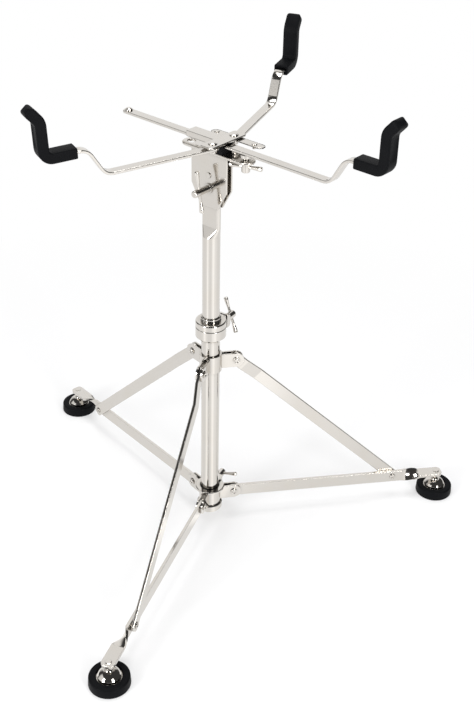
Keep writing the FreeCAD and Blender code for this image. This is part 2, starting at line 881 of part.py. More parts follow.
def make_upper_leg(name, yaw):
    """Flat strut, joggled sideways just below the hub so that it lies beside the lower leg."""
    body = new_body("upper_leg_" + name)
    sketch = sketch_on(body, "XY_Plane")
    run = dim.joggle_end - dim.joggle_start
    end = upper_leg_length + dim.leg_end
    side = -dim.leg_thickness / 2
    bent_strip(sketch, -dim.leg_end, dim.joggle_start, run, leg_offset, end, dim.leg_thickness, side)
    pad(body, sketch, dim.upper_leg_width, symmetric=True)
    pivot = circle(sketch_on(body, "XZ_Plane"), 0, 0, dim.pin_radius + dim.run_fit)
    pocket(body, pivot, symmetric=True)
    knee = circle(sketch_on(body, "XZ_Plane"), upper_leg_length, 0, dim.knee_rivet_radius + dim.still_fit)
    pocket(body, knee, symmetric=True)
    fillet(body, dim.leg_corner, edges_at(Y, "x", -dim.leg_end, end))
    place(body, polar_spot(dim.hub_pivot_radius, yaw, dim.upper_pivot_height), yaw, upper_leg_pitch)


def make_lower_leg(name, yaw):
    """Flat strut on edge whose outer end is twisted a quarter turn into a level tongue."""
    body = new_body("lower_leg_" + name)
    half_thickness = dim.leg_thickness / 2
    half_width = dim.lower_leg_width / 2
    twist_start = lower_leg_length + dim.twist_gap
    twist_end = twist_start + dim.twist_length
    blade = rectangle_from(sketch_on(body, "YZ_Plane", -dim.leg_end), half_thickness, half_width)
    pad(body, blade, twist_start + dim.leg_end)
    sections = []
    for step in range(TWIST_STEPS + 1):
        offset = twist_start + dim.twist_length * (step / TWIST_STEPS)
        section = sketch_on(body, "YZ_Plane", offset, QUARTER_TURN * step / TWIST_STEPS)
        sections.append(rectangle_from(section, half_thickness, half_width))
    loft = body.newObject("PartDesign::AdditiveLoft", body.Name + "_loft")
    loft.Profile = sections[0]
    loft.Sections = sections[1:]
    flat = sketch_on(body, "XY_Plane")
    end = stud_place + dim.tongue_end
    rectangle(flat, twist_end, -half_width, end, half_width)
    pad(body, flat, dim.leg_thickness, symmetric=True)
    pivot = circle(sketch_on(body, "XZ_Plane"), 0, 0, dim.pin_radius + dim.run_fit)
    pocket(body, pivot, symmetric=True)
    knee = circle(sketch_on(body, "XZ_Plane"), lower_leg_length, 0, dim.knee_rivet_radius + dim.still_fit)
    pocket(body, knee, symmetric=True)
    stud = circle(sketch_on(body, "XY_Plane"), stud_place, 0, dim.stud_shank_radius + dim.still_fit)
    pocket(body, stud, symmetric=True)
    fillet(body, dim.tongue_corner, edges_at(Z, "x", end))
    fillet(body, dim.leg_corner, edges_at(Y, "x", -dim.leg_end))
    place(body, polar_spot(dim.hub_pivot_radius, yaw, dim.lower_pivot_height), yaw, lower_leg_pitch)


def half_rivet(body, along, inner, outer, head_height):
    """Half of a knee rivet: a shank from the inner face to the outer one, and its head beyond."""
    outward = outer.value > inner.value
    shank = circle(sketch_on(body, "XZ_Plane", -inner), along, 0, dim.knee_rivet_radius)
    pad(body, shank, outer - inner if outward else inner - outer, reverse=outward)
    head = circle(sketch_on(body, "XZ_Plane", -outer), along, 0, dim.knee_head_radius)
    pad(body, head, head_height, reverse=outward)


def make_knee_rivets(name, yaw):
    half = dim.leg_thickness / 2
    lower = new_body("lower_leg_rivet_" + name)
    half_rivet(lower, lower_leg_length, half, -half, dim.knee_head_height)
    place(lower, polar_spot(dim.hub_pivot_radius, yaw, dim.lower_pivot_height), yaw, lower_leg_pitch)
    upper = new_body("upper_leg_rivet_" + name)
    half_rivet(upper, upper_leg_length, leg_offset - half, leg_offset + half, dim.knee_head_height)
    place(upper, polar_spot(dim.hub_pivot_radius, yaw, dim.upper_pivot_height), yaw, upper_leg_pitch)


def make_foot_stud(name, yaw):
    """Ball stud, riveted square through the tongue; its own frame has its origin in the ball."""
    body = new_body("foot_stud_" + name)
    under = stud_rise - dim.leg_thickness / 2
    over = stud_rise + dim.leg_thickness / 2
    neck_low = leg_of_triangle(dim.ball_radius, dim.stud_neck_radius)
    collar_low = under - dim.stud_collar_height
    steps = [
        (dim.stud_neck_radius, neck_low, 0, 0, True),
        (dim.stud_neck_radius, collar_low),
        (dim.stud_collar_radius, collar_low),
        (dim.stud_collar_radius, under),
        (dim.stud_shank_radius, under),
        (dim.stud_shank_radius, over),
        (dim.stud_head_radius, over),
        (dim.stud_head_radius, over + dim.stud_head_height / 2),
        (dim.stud_shank_radius, over + dim.stud_head_height),
        (0, over + dim.stud_head_height),
        (0, -dim.ball_radius),
    ]
    revolve(body, trace(sketch_on(body, "XZ_Plane"), (0, -dim.ball_radius), steps))
    place(body, polar_spot(dim.foot_circle_radius, yaw, ball_height), yaw, lower_leg_pitch)


def arc_centre_height(x_one, y_one, x_other, y_other):
    """Height on the axis from which two points of a profile are equally far."""
    squares = x_one * x_one + y_one * y_one - x_other * x_other - y_other * y_other
    return squares / (2 * (y_one - y_other))


def make_foot_dome(name, yaw):
    """Domed cup with a ball socket, set into the rubber foot."""
    body = new_body("foot_dome_" + name)
    socket = dim.ball_radius + dim.run_fit
    mouth = ball_height + leg_of_triangle(socket, dim.dome_mouth_radius)
    lip = dim.dome_mouth_radius + dim.dome_lip
    bottom = foot_recess_floor
    flange_top = bottom + dim.dome_flange_height
    crease = bottom + dim.dome_crease_height
    steps = [
        (dim.dome_flange_radius, bottom),
        (dim.dome_flange_radius, flange_top),
        (dim.dome_bead_radius, flange_top),
        (dim.dome_bead_radius, bottom + dim.dome_bead_height),
        (dim.dome_crease_radius, crease),
        (lip, mouth, 0, arc_centre_height(dim.dome_crease_radius, crease, lip, mouth), True),
        (dim.dome_mouth_radius, mouth),
        (0, ball_height - socket, 0, ball_height, False),
        (0, bottom),
    ]
    revolve(body, trace(sketch_on(body, "XZ_Plane"), (0, bottom), steps))
    place(body, polar_spot(dim.foot_circle_radius, yaw, 0), yaw)


def make_foot_rubber(name, yaw):
    body = new_body("foot_rubber_" + name)
    recess = dim.dome_flange_radius + dim.foot_recess_gap
    points = [
        (0, 0),
        (dim.foot_radius, 0),
        (dim.foot_radius, dim.foot_height),
        (recess, dim.foot_height),
        (recess, foot_recess_floor),
        (0, foot_recess_floor),
    ]
    revolve(body, polygon(sketch_on(body, "XZ_Plane"), points))
    fillet(body, dim.foot_round, rings_at(dim.foot_radius, 0, dim.foot_height))
    place(body, polar_spot(dim.foot_circle_radius, yaw, 0), yaw)


def make_t_bolt(name, screw, head, base, yaw, pitch, roll):
    """Clamp bolt along its own X, seated at its origin, with a cross bar through its barrel."""
    body = new_body(name)
    flange = dim.bolt_flange_height
    far = flange + head.barrel_length
    points = [
        (-screw, 0),
        (-screw, dim.bolt_radius),
        (0, dim.bolt_radius),
        (0, dim.bolt_flange_radius),
        (flange, dim.bolt_flange_radius),
        (flange, head.barrel_radius),
        (far, head.barrel_radius),
        (far, 0),
    ]
    revolve(body, polygon(sketch_on(body, "XZ_Plane"), points), "H_Axis")
    fillet(body, dim.bolt_end_round, lambda edge: near(edge.CenterOfMass.x, far))
    along = flange + head.bar_place
    hole = circle(sketch_on(body, "XY_Plane"), along, 0, dim.bar_radius + dim.still_fit)
    pocket(body, hole, symmetric=True)
    place(body, base, yaw, pitch, roll)
    bar = new_body(name + "_bar")
    half = head.bar_length / 2
    bulb = half - dim.bar_bulb_length
    rim = dim.bar_bulb_radius - dim.bar_bulb_bevel
    profile = [
        (0, -half),
        (rim, -half),
        (dim.bar_bulb_radius, dim.bar_bulb_bevel - half),
        (dim.bar_bulb_radius, -bulb),
        (dim.bar_radius, dim.bar_taper - bulb),
        (dim.bar_radius, bulb - dim.bar_taper),
        (dim.bar_bulb_radius, bulb),
        (dim.bar_bulb_radius, half - dim.bar_bulb_bevel),
        (rim, half),
        (0, half),
    ]
    revolve(bar, polygon(sketch_on(bar, "XZ_Plane", along=along), profile))
    place(bar, base, yaw, pitch, roll)


def make_tilter_bracket():
    """Folded bracket: a web under the hub plate and two tapering cheeks beside the flattened tube."""
    body = new_body("tilter_bracket")
    half = dim.cheek_half_width
    foot = dim.cheek_bottom_half_width
    bottom = dim.tilt_pivot_height - dim.cheek_drop
    side_bottom = dim.tilt_pivot_height - dim.cheek_side_drop
    outline = [
        (-foot, bottom),
        (foot, bottom),
        (half, side_bottom),
        (half, plate_bottom),
        (-half, plate_bottom),
        (-half, side_bottom),
    ]
    pad(body, polygon(sketch_on(body, "XZ_Plane"), outline), tilter_width, symmetric=True)
    fillet(body, dim.cheek_corner, edges_at(Y, "z", bottom, side_bottom))
    gap = sketch_on(body, "XZ_Plane")
    over = dim.overrun
    rectangle(gap, -half - over, bottom - over, half + over, plate_bottom - dim.tilter_web)
    pocket(body, gap, cheek_gap, symmetric=True)
    holes = sketch_on(body, "XZ_Plane")
    circle(holes, 0, dim.tilt_pivot_height, dim.tilt_pivot_radius + dim.still_fit)
    circle(holes, 0, tilt_bolt_height, dim.bolt_radius + dim.run_fit)
    pocket(body, holes, symmetric=True)
    place(body, yaw=dim.basket_yaw)


def make_tilt_pivot():
    """Headed pin through both cheeks and the flattened tube."""
    body = new_body("tilt_pivot")
    height = dim.tilt_pivot_height
    head = circle(sketch_on(body, "XZ_Plane"), 0, height, dim.tilt_pivot_head_radius)
    pad(body, head, tilter_width + 2 * dim.tilt_pivot_head_height, symmetric=True)
    ring = sketch_on(body, "XZ_Plane")
    circle(ring, 0, height, dim.tilt_pivot_head_radius + dim.overrun)
    circle(ring, 0, height, dim.tilt_pivot_radius)
    pocket(body, ring, tilter_width, symmetric=True)
    place(body, yaw=dim.basket_yaw)


def make_tilt_nut():
    """Hexagon nut of the tilt bolt, on the far cheek."""
    body = new_body("tilt_nut")
    sketch = sketch_on(body, "XZ_Plane", -tilter_width / 2)
    flat = dim.nut_width / 2
    corner = flat / math.cos(math.pi / NUT_SIDES)
    height = tilt_bolt_height
    hexagon = [
        (corner, height),
        (corner / 2, height + flat),
        (-corner / 2, height + flat),
        (-corner, height),
        (-corner / 2, height - flat),
        (corner / 2, height - flat),
    ]
    polygon(sketch, hexagon)
    circle(sketch, 0, height, dim.bolt_radius + dim.run_fit)
    pad(body, sketch, dim.nut_height, reverse=True)
    place(body, yaw=dim.basket_yaw)


def make_hub_plate():
    """Base plate under the sliding arm, with a ring at one end and the arm bolt's hole at the other."""
    body = new_body("hub_plate")
    strip = sketch_on(body, "XY_Plane", plate_bottom)
    slot(strip, (dim.plate_ring_place, 0), (dim.arm_bolt_place, 0), dim.plate_radius)
    pad(body, strip, dim.plate_thickness)
    holes = sketch_on(body, "XY_Plane", plate_bottom)
    circle(holes, dim.plate_ring_place, 0, dim.plate_ring_bore)
    circle(holes, dim.arm_bolt_place, 0, dim.bolt_radius + dim.run_fit)
    pocket(body, holes, symmetric=True)
    place(body, yaw=dim.basket_yaw)


def make_arm_pivots():
    """Two rivets that hang the swinging arms under the bridge."""
    body = new_body("arm_pivots")
    head = dim.pivot_head_radius
    under = arm_bottom - dim.pivot_head_gap
    low = under - dim.pivot_head_height
    high = bridge_top + dim.pivot_head_height
    points = [
        (0, low),
        (head, low),
        (head, under),
        (dim.pivot_radius, under),
        (dim.pivot_radius, bridge_top),
        (head, bridge_top),
        (head, high - dim.pivot_head_height / 2),
        (dim.pivot_radius, high),
        (0, high),
    ]
    rivet = revolve(body, polygon(sketch_on(body, "XZ_Plane"), points))
    pair_along_y(body, [rivet], 2 * dim.arm_pivot_side)
    place(body, basket_spot(dim.bridge_place, -dim.arm_pivot_side, 0), dim.basket_yaw)


def make_hub_bridge():
    """Top strap over the arm pivots, with a lipped channel that guides the sliding arm."""
    body = new_body("hub_bridge")
    across = dim.bridge_place
    reach = dim.arm_pivot_side + dim.bridge_end
    left = across - dim.bridge_half_width
    right = across + dim.bridge_half_width
    strap = rectangle(sketch_on(body, "XY_Plane", bridge_bottom), left, -reach, right, reach)
    pad(body, strap, dim.bridge_thickness)
    fillet(body, dim.bridge_corner, edges_at(Z, "x", left, right))
    channel = sketch_on(body, "XY_Plane", bridge_bottom)
    half = dim.bridge_tongue_width / 2
    rectangle(channel, dim.bridge_tongue_end, -half, across, half)
    pad(body, channel, dim.bridge_thickness)
    lips = sketch_on(body, "XY_Plane", bridge_bottom)
    inner = half - dim.bridge_lip
    lip_end = left - dim.overrun
    rectangle(lips, dim.bridge_tongue_end, inner, lip_end, half)
    rectangle(lips, dim.bridge_tongue_end, -half, lip_end, -inner)
    pad(body, lips, dim.bridge_lip_drop, reverse=True)
    holes = sketch_on(body, "XY_Plane", bridge_bottom)
    circle(holes, across, dim.arm_pivot_side, dim.pivot_radius + dim.still_fit)
    circle(holes, across, -dim.arm_pivot_side, dim.pivot_radius + dim.still_fit)
    pocket(body, holes, symmetric=True)
    place(body, yaw=dim.basket_yaw)


def make_arm_stops():
    """Strip under the bridge's far lobe, with two pins that stop the back arm."""
    strip = new_body("arm_stop_plate")
    outline = sketch_on(strip, "XY_Plane", stop_plate_bottom)
    side = dim.arm_pivot_side
    slot(outline, (dim.stop_plate_left, side), (dim.stop_plate_right, side), dim.stop_plate_half_width)
    pad(strip, outline, dim.stop_plate_thickness)
    holes = sketch_on(strip, "XY_Plane", stop_plate_bottom)
    circle(holes, dim.bridge_place, side, dim.pivot_radius + dim.still_fit)
    circle(holes, dim.stop_pin_left, side, dim.stop_pin_radius + dim.still_fit)
    circle(holes, dim.stop_pin_right, side, dim.stop_pin_radius + dim.still_fit)
    pocket(strip, holes, symmetric=True)
    place(strip, yaw=dim.basket_yaw)
    pins = new_body("arm_stop_pins")
    places = (dim.stop_pin_left, dim.stop_pin_right)
    for height, radius, length, down in (
        (bridge_bottom, dim.stop_pin_head_radius, dim.stop_pin_head_height, False),
        (bridge_bottom, dim.stop_pin_radius, bridge_bottom - arm_bottom, True),
    ):
        section = sketch_on(pins, "XY_Plane", height)
        for along in places:
            circle(section, along, side, radius)
        pad(pins, section, length, reverse=down)
    place(pins, yaw=dim.basket_yaw)


def make_guide_block():
    """Black block that carries the bridge, with a channel for the sliding arm."""
    body = new_body("guide_block")
    channel = dim.arm_width / 2 + dim.guide_play
    half = channel + dim.guide_block_wall
    left = dim.bridge_place - dim.guide_block_length / 2
    right = dim.bridge_place + dim.guide_block_length / 2
    block = rectangle(sketch_on(body, "XY_Plane", plate_top), left, -half, right, half)
    pad(body, block, bridge_bottom - plate_top)
    cut = sketch_on(body, "XY_Plane", bridge_bottom)
    rectangle(cut, left - dim.overrun, -channel, right + dim.overrun, channel)
    pocket(body, cut, bridge_bottom - arm_bottom)
    place(body, yaw=dim.basket_yaw)


def make_clamp_pad():
    """Pad that the basket bolt presses against the sliding arm."""
    body = new_body("clamp_pad")
    sketch = sketch_on(body, "XY_Plane", arm_bottom - dim.clamp_pad_thickness)
    circle(sketch, dim.arm_bolt_place, 0, dim.clamp_pad_radius)
    pad(body, sketch, dim.clamp_pad_thickness)
    place(body, yaw=dim.basket_yaw)


def make_arm(name, start, reach, base, yaw, droop=0):
    """Flat arm that steps up in two round bends before its grip; its frame starts at its pivot."""
    body = new_body(name)
    run = dim.arm_rise / tangent(dim.arm_rise_angle)
    bend = reach - dim.grip_sleeve - dim.arm_bend_gap - run
    end = reach - dim.grip_core_stop
    side = sketch_on(body, "XZ_Plane")
    bent_strip(side, start, bend, run, dim.arm_rise, end, dim.arm_thickness, -dim.arm_thickness / 2)
    pad(body, side, dim.arm_width, symmetric=True)
    shift = mitre_shift(run, dim.arm_rise, dim.arm_thickness)
    fillet(body, dim.arm_bend_radius, edges_at(Y, "x", bend - shift, bend + run))
    fillet(body, dim.arm_bend_radius + dim.arm_thickness, edges_at(Y, "x", bend, bend + run - shift))
    fillet(body, dim.arm_corner, edges_at(Z, "x", start))
    place(body, base, yaw, droop)
    return body


def make_swing_arm(name, side, yaw, droop=0):
    base = basket_spot(dim.bridge_place, side, arm_middle)
    body = make_arm(name + "_arm", -dim.arm_end, dim.swing_arm_reach, base, yaw, droop)
    hole = circle(sketch_on(body, "XY_Plane"), 0, 0, dim.pivot_radius + dim.pivot_play)
    pocket(body, hole, symmetric=True)
    make_grip(name + "_grip", dim.swing_arm_reach, base, yaw, droop)


def make_sliding_arm():
    base = (0, 0, arm_middle)
    yaw = dim.basket_yaw
    screw_place = dim.sliding_arm_tail + dim.stop_screw_inset
    body = make_arm("sliding_arm", dim.sliding_arm_tail, dim.sliding_arm_reach, base, yaw)
    hole = circle(sketch_on(body, "XY_Plane"), screw_place, 0, dim.stop_pin_radius + dim.still_fit)
    pocket(body, hole, symmetric=True)
    make_grip("right_grip", dim.sliding_arm_reach, base, yaw)
    screw = new_body("stop_screw")
    radius = dim.stop_screw_head_radius
    high = arm_top + dim.stop_screw_head_height
    points = [
        (0, arm_bottom),
        (dim.stop_pin_radius, arm_bottom),
        (dim.stop_pin_radius, arm_top),
        (radius, arm_top),
        (radius, high - dim.stop_screw_head_height / 2),
        (radius / 2, high),
        (0, high),
    ]
    revolve(screw, polygon(sketch_on(screw, "XZ_Plane"), points))
    place(screw, basket_spot(screw_place, 0, 0), yaw)


def make_grip(name, reach, base, yaw, droop=0):
    """Rubber boot: a sleeve over the arm's end, a riser and a tip that leans outwards."""
    body = new_body(name)
    start = reach - dim.grip_sleeve
    low = dim.arm_rise
    bend = dim.grip_foot_bend
    tip_bend = dim.grip_tip_bend
    lean = dim.grip_tip_angle
    riser_top = low + dim.grip_riser - tip_bend
    turned_x = reach + tip_bend - tip_bend * cosine(lean)
    turned_z = riser_top + tip_bend * sine(lean)
    tip_x = turned_x + dim.grip_tip_length * sine(lean)
    tip_z = turned_z + dim.grip_tip_length * cosine(lean)
    spine = sketch_on(body, "XZ_Plane")
    steps = [
        (reach - bend, low),
        (reach, low + bend, reach - bend, low + bend, True),
        (reach, riser_top),
        (turned_x, turned_z, reach + tip_bend, riser_top, False),
        (tip_x, tip_z),
    ]
    trace(spine, (start, low), steps, closed=False)
    section = rounded_section(sketch_on(body, "YZ_Plane", start), low)
    pipe = body.newObject("PartDesign::AdditivePipe", body.Name + "_pipe")
    pipe.Profile = section
    pipe.Spine = (spine, ["Edge%d" % (number + 1) for number in range(len(steps))])
    bore = sketch_on(body, "YZ_Plane", start)
    half_width = dim.arm_width / 2 + dim.still_fit
    half_height = dim.arm_thickness / 2 + dim.still_fit
    rectangle(bore, -half_width, low - half_height, half_width, low + half_height)
    pocket(body, bore, dim.grip_sleeve - dim.grip_core_stop, reverse=True)
    fillet(body, dim.grip_end_round, edges_square_to(lean, tip_x, tip_z))
    place(body, base, yaw, droop)


def edges_square_to(lean, x, z):
    """A test for edges in the plane through a point, square to a direction that leans from Z towards X."""
    normal = FreeCAD.Vector(sine(lean).value, 0, cosine(lean).value)
    level = FreeCAD.Vector(x.value, 0, z.value).dot(normal)

    def test(edge):
        spots = [edge.CenterOfMass] + [vertex.Point for vertex in edge.Vertexes]
        return all(near(spot.dot(normal), level) for spot in spots)

    return test


def rounded_section(sketch, middle):
    """The grip's rounded rectangle about a point on the sketch's Y axis."""
    half = dim.grip_width / 2
    flat = half - dim.grip_corner
    low = middle - dim.grip_thickness / 2
    high = middle + dim.grip_thickness / 2
    low_side = low + dim.grip_corner
    high_side = high - dim.grip_corner
    steps = [
        (flat, low),
        (half, low_side, flat, low_side, True),
        (half, high_side),
        (flat, high, flat, high_side, True),
        (-flat, high),
        (-half, high_side, -flat, high_side, True),
        (-half, low_side),
        (-flat, low, -flat, low_side, True),
    ]
    return trace(sketch, (-flat, low), steps)


def bolt_head(barrel_radius, barrel_length, bar_place, bar_length):
    return SimpleNamespace(
        barrel_radius=barrel_radius,
        barrel_length=barrel_length,
        bar_place=bar_place,
        bar_length=bar_length,
    )


def make_t_bolts():
    head = bolt_head(dim.bolt_barrel_radius, dim.bolt_barrel_length, dim.bolt_bar_place, dim.bar_length)
    screw = dim.clamp_boss_reach - collar_radius - dim.tip_gap
    base = polar_spot(dim.clamp_boss_reach, dim.height_bolt_yaw, height_bolt_height)
    make_t_bolt("height_bolt", screw, head, base, dim.height_bolt_yaw, 0, dim.height_bolt_roll)
    screw = dim.leg_boss_reach - dim.base_tube_radius - dim.tip_gap
    base = polar_spot(dim.leg_boss_reach, dim.leg_bolt_yaw, leg_bolt_height)
    make_t_bolt("leg_bolt", screw, head, base, dim.leg_bolt_yaw, 0, dim.leg_bolt_roll)
    head = bolt_head(dim.tilt_barrel_radius, dim.tilt_barrel_length, dim.tilt_bar_place, dim.bar_length)
    front = dim.basket_yaw - QUARTER_TURN
    screw = tilter_width + dim.nut_height
    base = polar_spot(tilter_width / 2, front, tilt_bolt_height)
    make_t_bolt("tilt_bolt", screw, head, base, front, 0, dim.tilt_bolt_roll)
    head = bolt_head(dim.bolt_barrel_radius, dim.arm_barrel_length, dim.arm_bar_place, dim.arm_bar_length)
    screw = arm_bottom - dim.clamp_pad_thickness - plate_bottom
    base = basket_spot(dim.arm_bolt_place, 0, plate_bottom)
    make_t_bolt("arm_bolt", screw, head, base, dim.basket_yaw, QUARTER_TURN, dim.arm_bolt_roll)


def build():
    make_base_tube()
    make_base_cap()
    make_height_clamp()
    make_swivel_collar()
    make_upper_tube()
    make_upper_leg_hub()
    make_hub_pins("upper_hub_pins", dim.upper_pivot_height)
    make_lower_leg_hub()
    make_hub_pins("lower_hub_pins", dim.lower_pivot_height)
    for name, yaw in leg_yaws():
        make_upper_leg(name, yaw)
        make_lower_leg(name, yaw)
        make_knee_rivets(name, yaw)
        make_foot_stud(name, yaw)
        make_foot_dome(name, yaw)
        make_foot_rubber(name, yaw)
    make_tilter_bracket()
    make_tilt_pivot()
    make_tilt_nut()
    make_hub_plate()
    make_arm_pivots()
    make_hub_bridge()
    make_arm_stops()
    make_guide_block()
    make_clamp_pad()
    make_sliding_arm()
    make_swing_arm("left", -dim.arm_pivot_side, dim.left_arm_yaw, dim.left_arm_droop)
    make_swing_arm("back", dim.arm_pivot_side, dim.back_arm_yaw)
    make_t_bolts()
    doc.recompute()


def check_and_write():
    """Stop on any failed object, then write each sub-part's shape."""
    for item in doc.Objects:
        if "Invalid" in item.State or "Error" in item.State:
            raise ValueError("%s is in state %s" % (item.Label, item.State))
    os.makedirs("parts", exist_ok=True)
    for name, body in NODES.items():
        shape = body.Shape
        if shape.isNull() or not shape.isValid():
            raise ValueError(name + " has no valid shape")
        shape.exportStep("parts/%s.step" % name)
        print("%-24s solids %d volume %.1f" % (name, len(shape.Solids), shape.Volume))


build()
check_and_write()
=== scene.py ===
"""Looks of a folding snare drum stand: nickel plate, moulded rubber, a pale floor and studio light.

Laid out as an add-on. Property groups hold the sizes and colours, and each operator makes one group of
pieces. Sizes are in metres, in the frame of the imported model.
"""
import json
import math

import bmesh
import bpy
from bpy.props import FloatProperty, FloatVectorProperty, IntProperty, PointerProperty
from mathutils import Matrix, Vector


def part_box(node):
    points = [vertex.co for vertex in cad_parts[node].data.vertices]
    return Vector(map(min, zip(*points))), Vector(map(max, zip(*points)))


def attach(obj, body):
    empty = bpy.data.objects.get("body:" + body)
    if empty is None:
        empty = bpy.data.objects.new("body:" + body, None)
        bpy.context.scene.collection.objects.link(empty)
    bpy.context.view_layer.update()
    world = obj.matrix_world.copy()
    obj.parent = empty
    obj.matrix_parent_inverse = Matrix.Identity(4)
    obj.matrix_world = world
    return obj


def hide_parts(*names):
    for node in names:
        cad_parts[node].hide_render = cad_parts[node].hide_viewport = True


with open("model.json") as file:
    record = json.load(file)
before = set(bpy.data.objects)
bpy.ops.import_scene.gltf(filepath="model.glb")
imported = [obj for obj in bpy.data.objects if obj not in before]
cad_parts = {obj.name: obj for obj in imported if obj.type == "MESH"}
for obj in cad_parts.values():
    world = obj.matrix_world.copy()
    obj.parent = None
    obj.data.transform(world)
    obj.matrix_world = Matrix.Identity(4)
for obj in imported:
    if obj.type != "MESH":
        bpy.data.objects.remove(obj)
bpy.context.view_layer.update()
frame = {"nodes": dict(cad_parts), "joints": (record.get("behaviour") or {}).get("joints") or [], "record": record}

bl_info = {
    "name": "Snare drum stand",
    "version": (1, 0, 0),
    "blender": (4, 5, 0),
    "location": "View3D > Sidebar > Stand",
    "description": "Finishes, rubber pieces and small fasteners of a folding snare drum stand",
    "category": "Object",
}

RECORD = frame["record"]
JOINTS = {joint["name"]: joint for joint in frame["joints"]}
BODY_OF = {node: body for body, nodes in RECORD["behaviour"]["bodies"].items() for node in nodes}
LEGS = ("front", "right", "left")
UP = Vector((0, 0, 1))
# Edges that turn more than CREASE are sharp, and faces that turn less than FLAT are one plane.
CREASE = math.radians(30)
FLAT = math.radians(0.5)
# Distances below which points are the same one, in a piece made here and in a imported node.
DOUBLES = 1e-7
SPLIT_CORNERS = 1e-6
# Tint of the plate where it is clouded.
CLOUD_TINT = (0.97, 0.945, 0.9)
WHITE = (1.0, 1.0, 1.0, 1.0)


def length(name, description, default):
    return FloatProperty(name=name, description=description, unit="LENGTH", min=0, default=default)


class StandFinish(bpy.types.PropertyGroup):
    """Colours and gloss of the stand's three finishes."""

    nickel_colour: FloatVectorProperty(
        name="Nickel", description="Reflection colour of the nickel plate", subtype="COLOR", size=3,
        min=0, max=1, default=(0.655, 0.633, 0.604))
    tube_roughness: FloatProperty(
        name="Tube roughness", description="Roughness of polished tubes and turned parts", min=0, max=1,
        default=0.07)
    strip_roughness: FloatProperty(
        name="Strip roughness", description="Roughness of flat struts, arms and plates", min=0, max=1,
        default=0.12)
    rubber_colour: FloatVectorProperty(
        name="Rubber", description="Colour of grips and feet", subtype="COLOR", size=3, min=0, max=1,
        default=(0.0038, 0.004, 0.0048))
    rubber_roughness: FloatProperty(
        name="Rubber roughness", description="Roughness of grips and feet", min=0, max=1, default=0.52)
    block_colour: FloatVectorProperty(
        name="Guide block", description="Colour of the plastic guide block", subtype="COLOR", size=3, min=0,
        max=1, default=(0.008, 0.008, 0.009))
    polish_edge: length("Polished edge", "Softening of every edge by the polish, in the light only", 0.0005)
    strip_edge: length("Strip edge", "Tumbled rounding of the edges of struts, arms and plates", 0.001)


class GripSizes(bpy.types.PropertyGroup):
    """Sizes of the moulded grips, as in the solid model."""

    width: length("Width", "Across the arm", 0.0162)
    thickness: length("Thickness", "Through the riser", 0.0112)
    corner: length("Corner", "Rounding of the section", 0.0019)
    sleeve: length("Sleeve", "Level run over the arm's end", 0.033)
    bore_depth: length("Bore depth", "How far the arm's end goes in", 0.024)
    bore_width: length("Bore width", "Opening across the arm", 0.01116)
    bore_height: length("Bore height", "Opening through the arm", 0.00326)
    foot_bend: length("Foot bend", "Bend from the sleeve up into the riser", 0.009)
    riser: length("Riser", "Height of the riser", 0.0452)
    tip_bend: length("Tip bend", "Bend from the riser into the tip", 0.012)
    tip_angle: FloatProperty(
        name="Tip angle", description="Outward lean of the tip", subtype="ANGLE", default=math.radians(41))
    tip: length("Tip", "Length of the leaning tip", 0.013)
    tip_round: length("Tip round", "Rounding of the tip's end", 0.0048)
    rim_round: length("Rim round", "Rounding of the sleeve's rim", 0.001)
    panel_depth: length("Panel depth", "Depth of the sunk panel on the outer face", 0.0007)
    panel_half: length("Panel half width", "Half of the sunk panel's width", 0.0052)
    panel_edge: length("Panel edge", "Width of the panel's sloping edge", 0.0007)
    rise: length("Rise", "Height of the sleeves above the arms' flat run", 0.0296)
    slide_reach: length("Sliding reach", "From the column to the sliding arm's riser", 0.2163)
    swing_reach: length("Swinging reach", "From a rivet to a swinging arm's riser", 0.1795)
    slide_yaw: FloatProperty(
        name="Sliding yaw", description="Heading of the sliding arm", subtype="ANGLE",
        default=math.radians(-21.1))
    left_yaw: FloatProperty(
        name="Left yaw", description="Heading of the left arm", subtype="ANGLE",
        default=math.radians(-132.5))
    left_droop: FloatProperty(
        name="Left droop", description="Sag of the left arm", subtype="ANGLE", default=math.radians(2.4))
    back_yaw: FloatProperty(
        name="Back yaw", description="Heading of the back arm", subtype="ANGLE", default=math.radians(89))


class FootSizes(bpy.types.PropertyGroup):
    """Sizes of the rubber feet."""

    radius: length("Radius", "Radius of the disc", 0.023)
    height: length("Height", "Height of the disc", 0.012)
    rounding: length("Rounding", "Rounding of the outer edges", 0.0022)
    draft: length("Draft", "How far the side leans in towards the top", 0.0005)
    recess_radius: length("Recess radius", "Radius of the seat of the metal dome", 0.0146)
    recess_depth: length("Recess depth", "Depth of the seat", 0.003)
    lip_round: length("Lip round", "Rounding of the seat's rim", 0.0008)
    segments: IntProperty(name="Segments", description="Steps round the disc", min=12, default=96)


class RivetSizes(bpy.types.PropertyGroup):
    """Rolled rims of the tubular rivets."""

    pin_half: length("Pin half", "From a hub pin's middle to its end", 0.0052)
    pin_rim: length("Pin rim", "Radius of a hub pin's rim", 0.0027)
    knee_rim: length("Knee rim", "Radius of a knee rivet's rim", 0.0025)
    wire: length("Rim wire", "Half thickness of a rim", 0.00075)
    steps: IntProperty(name="Steps", description="Steps round a rim", min=8, default=28)


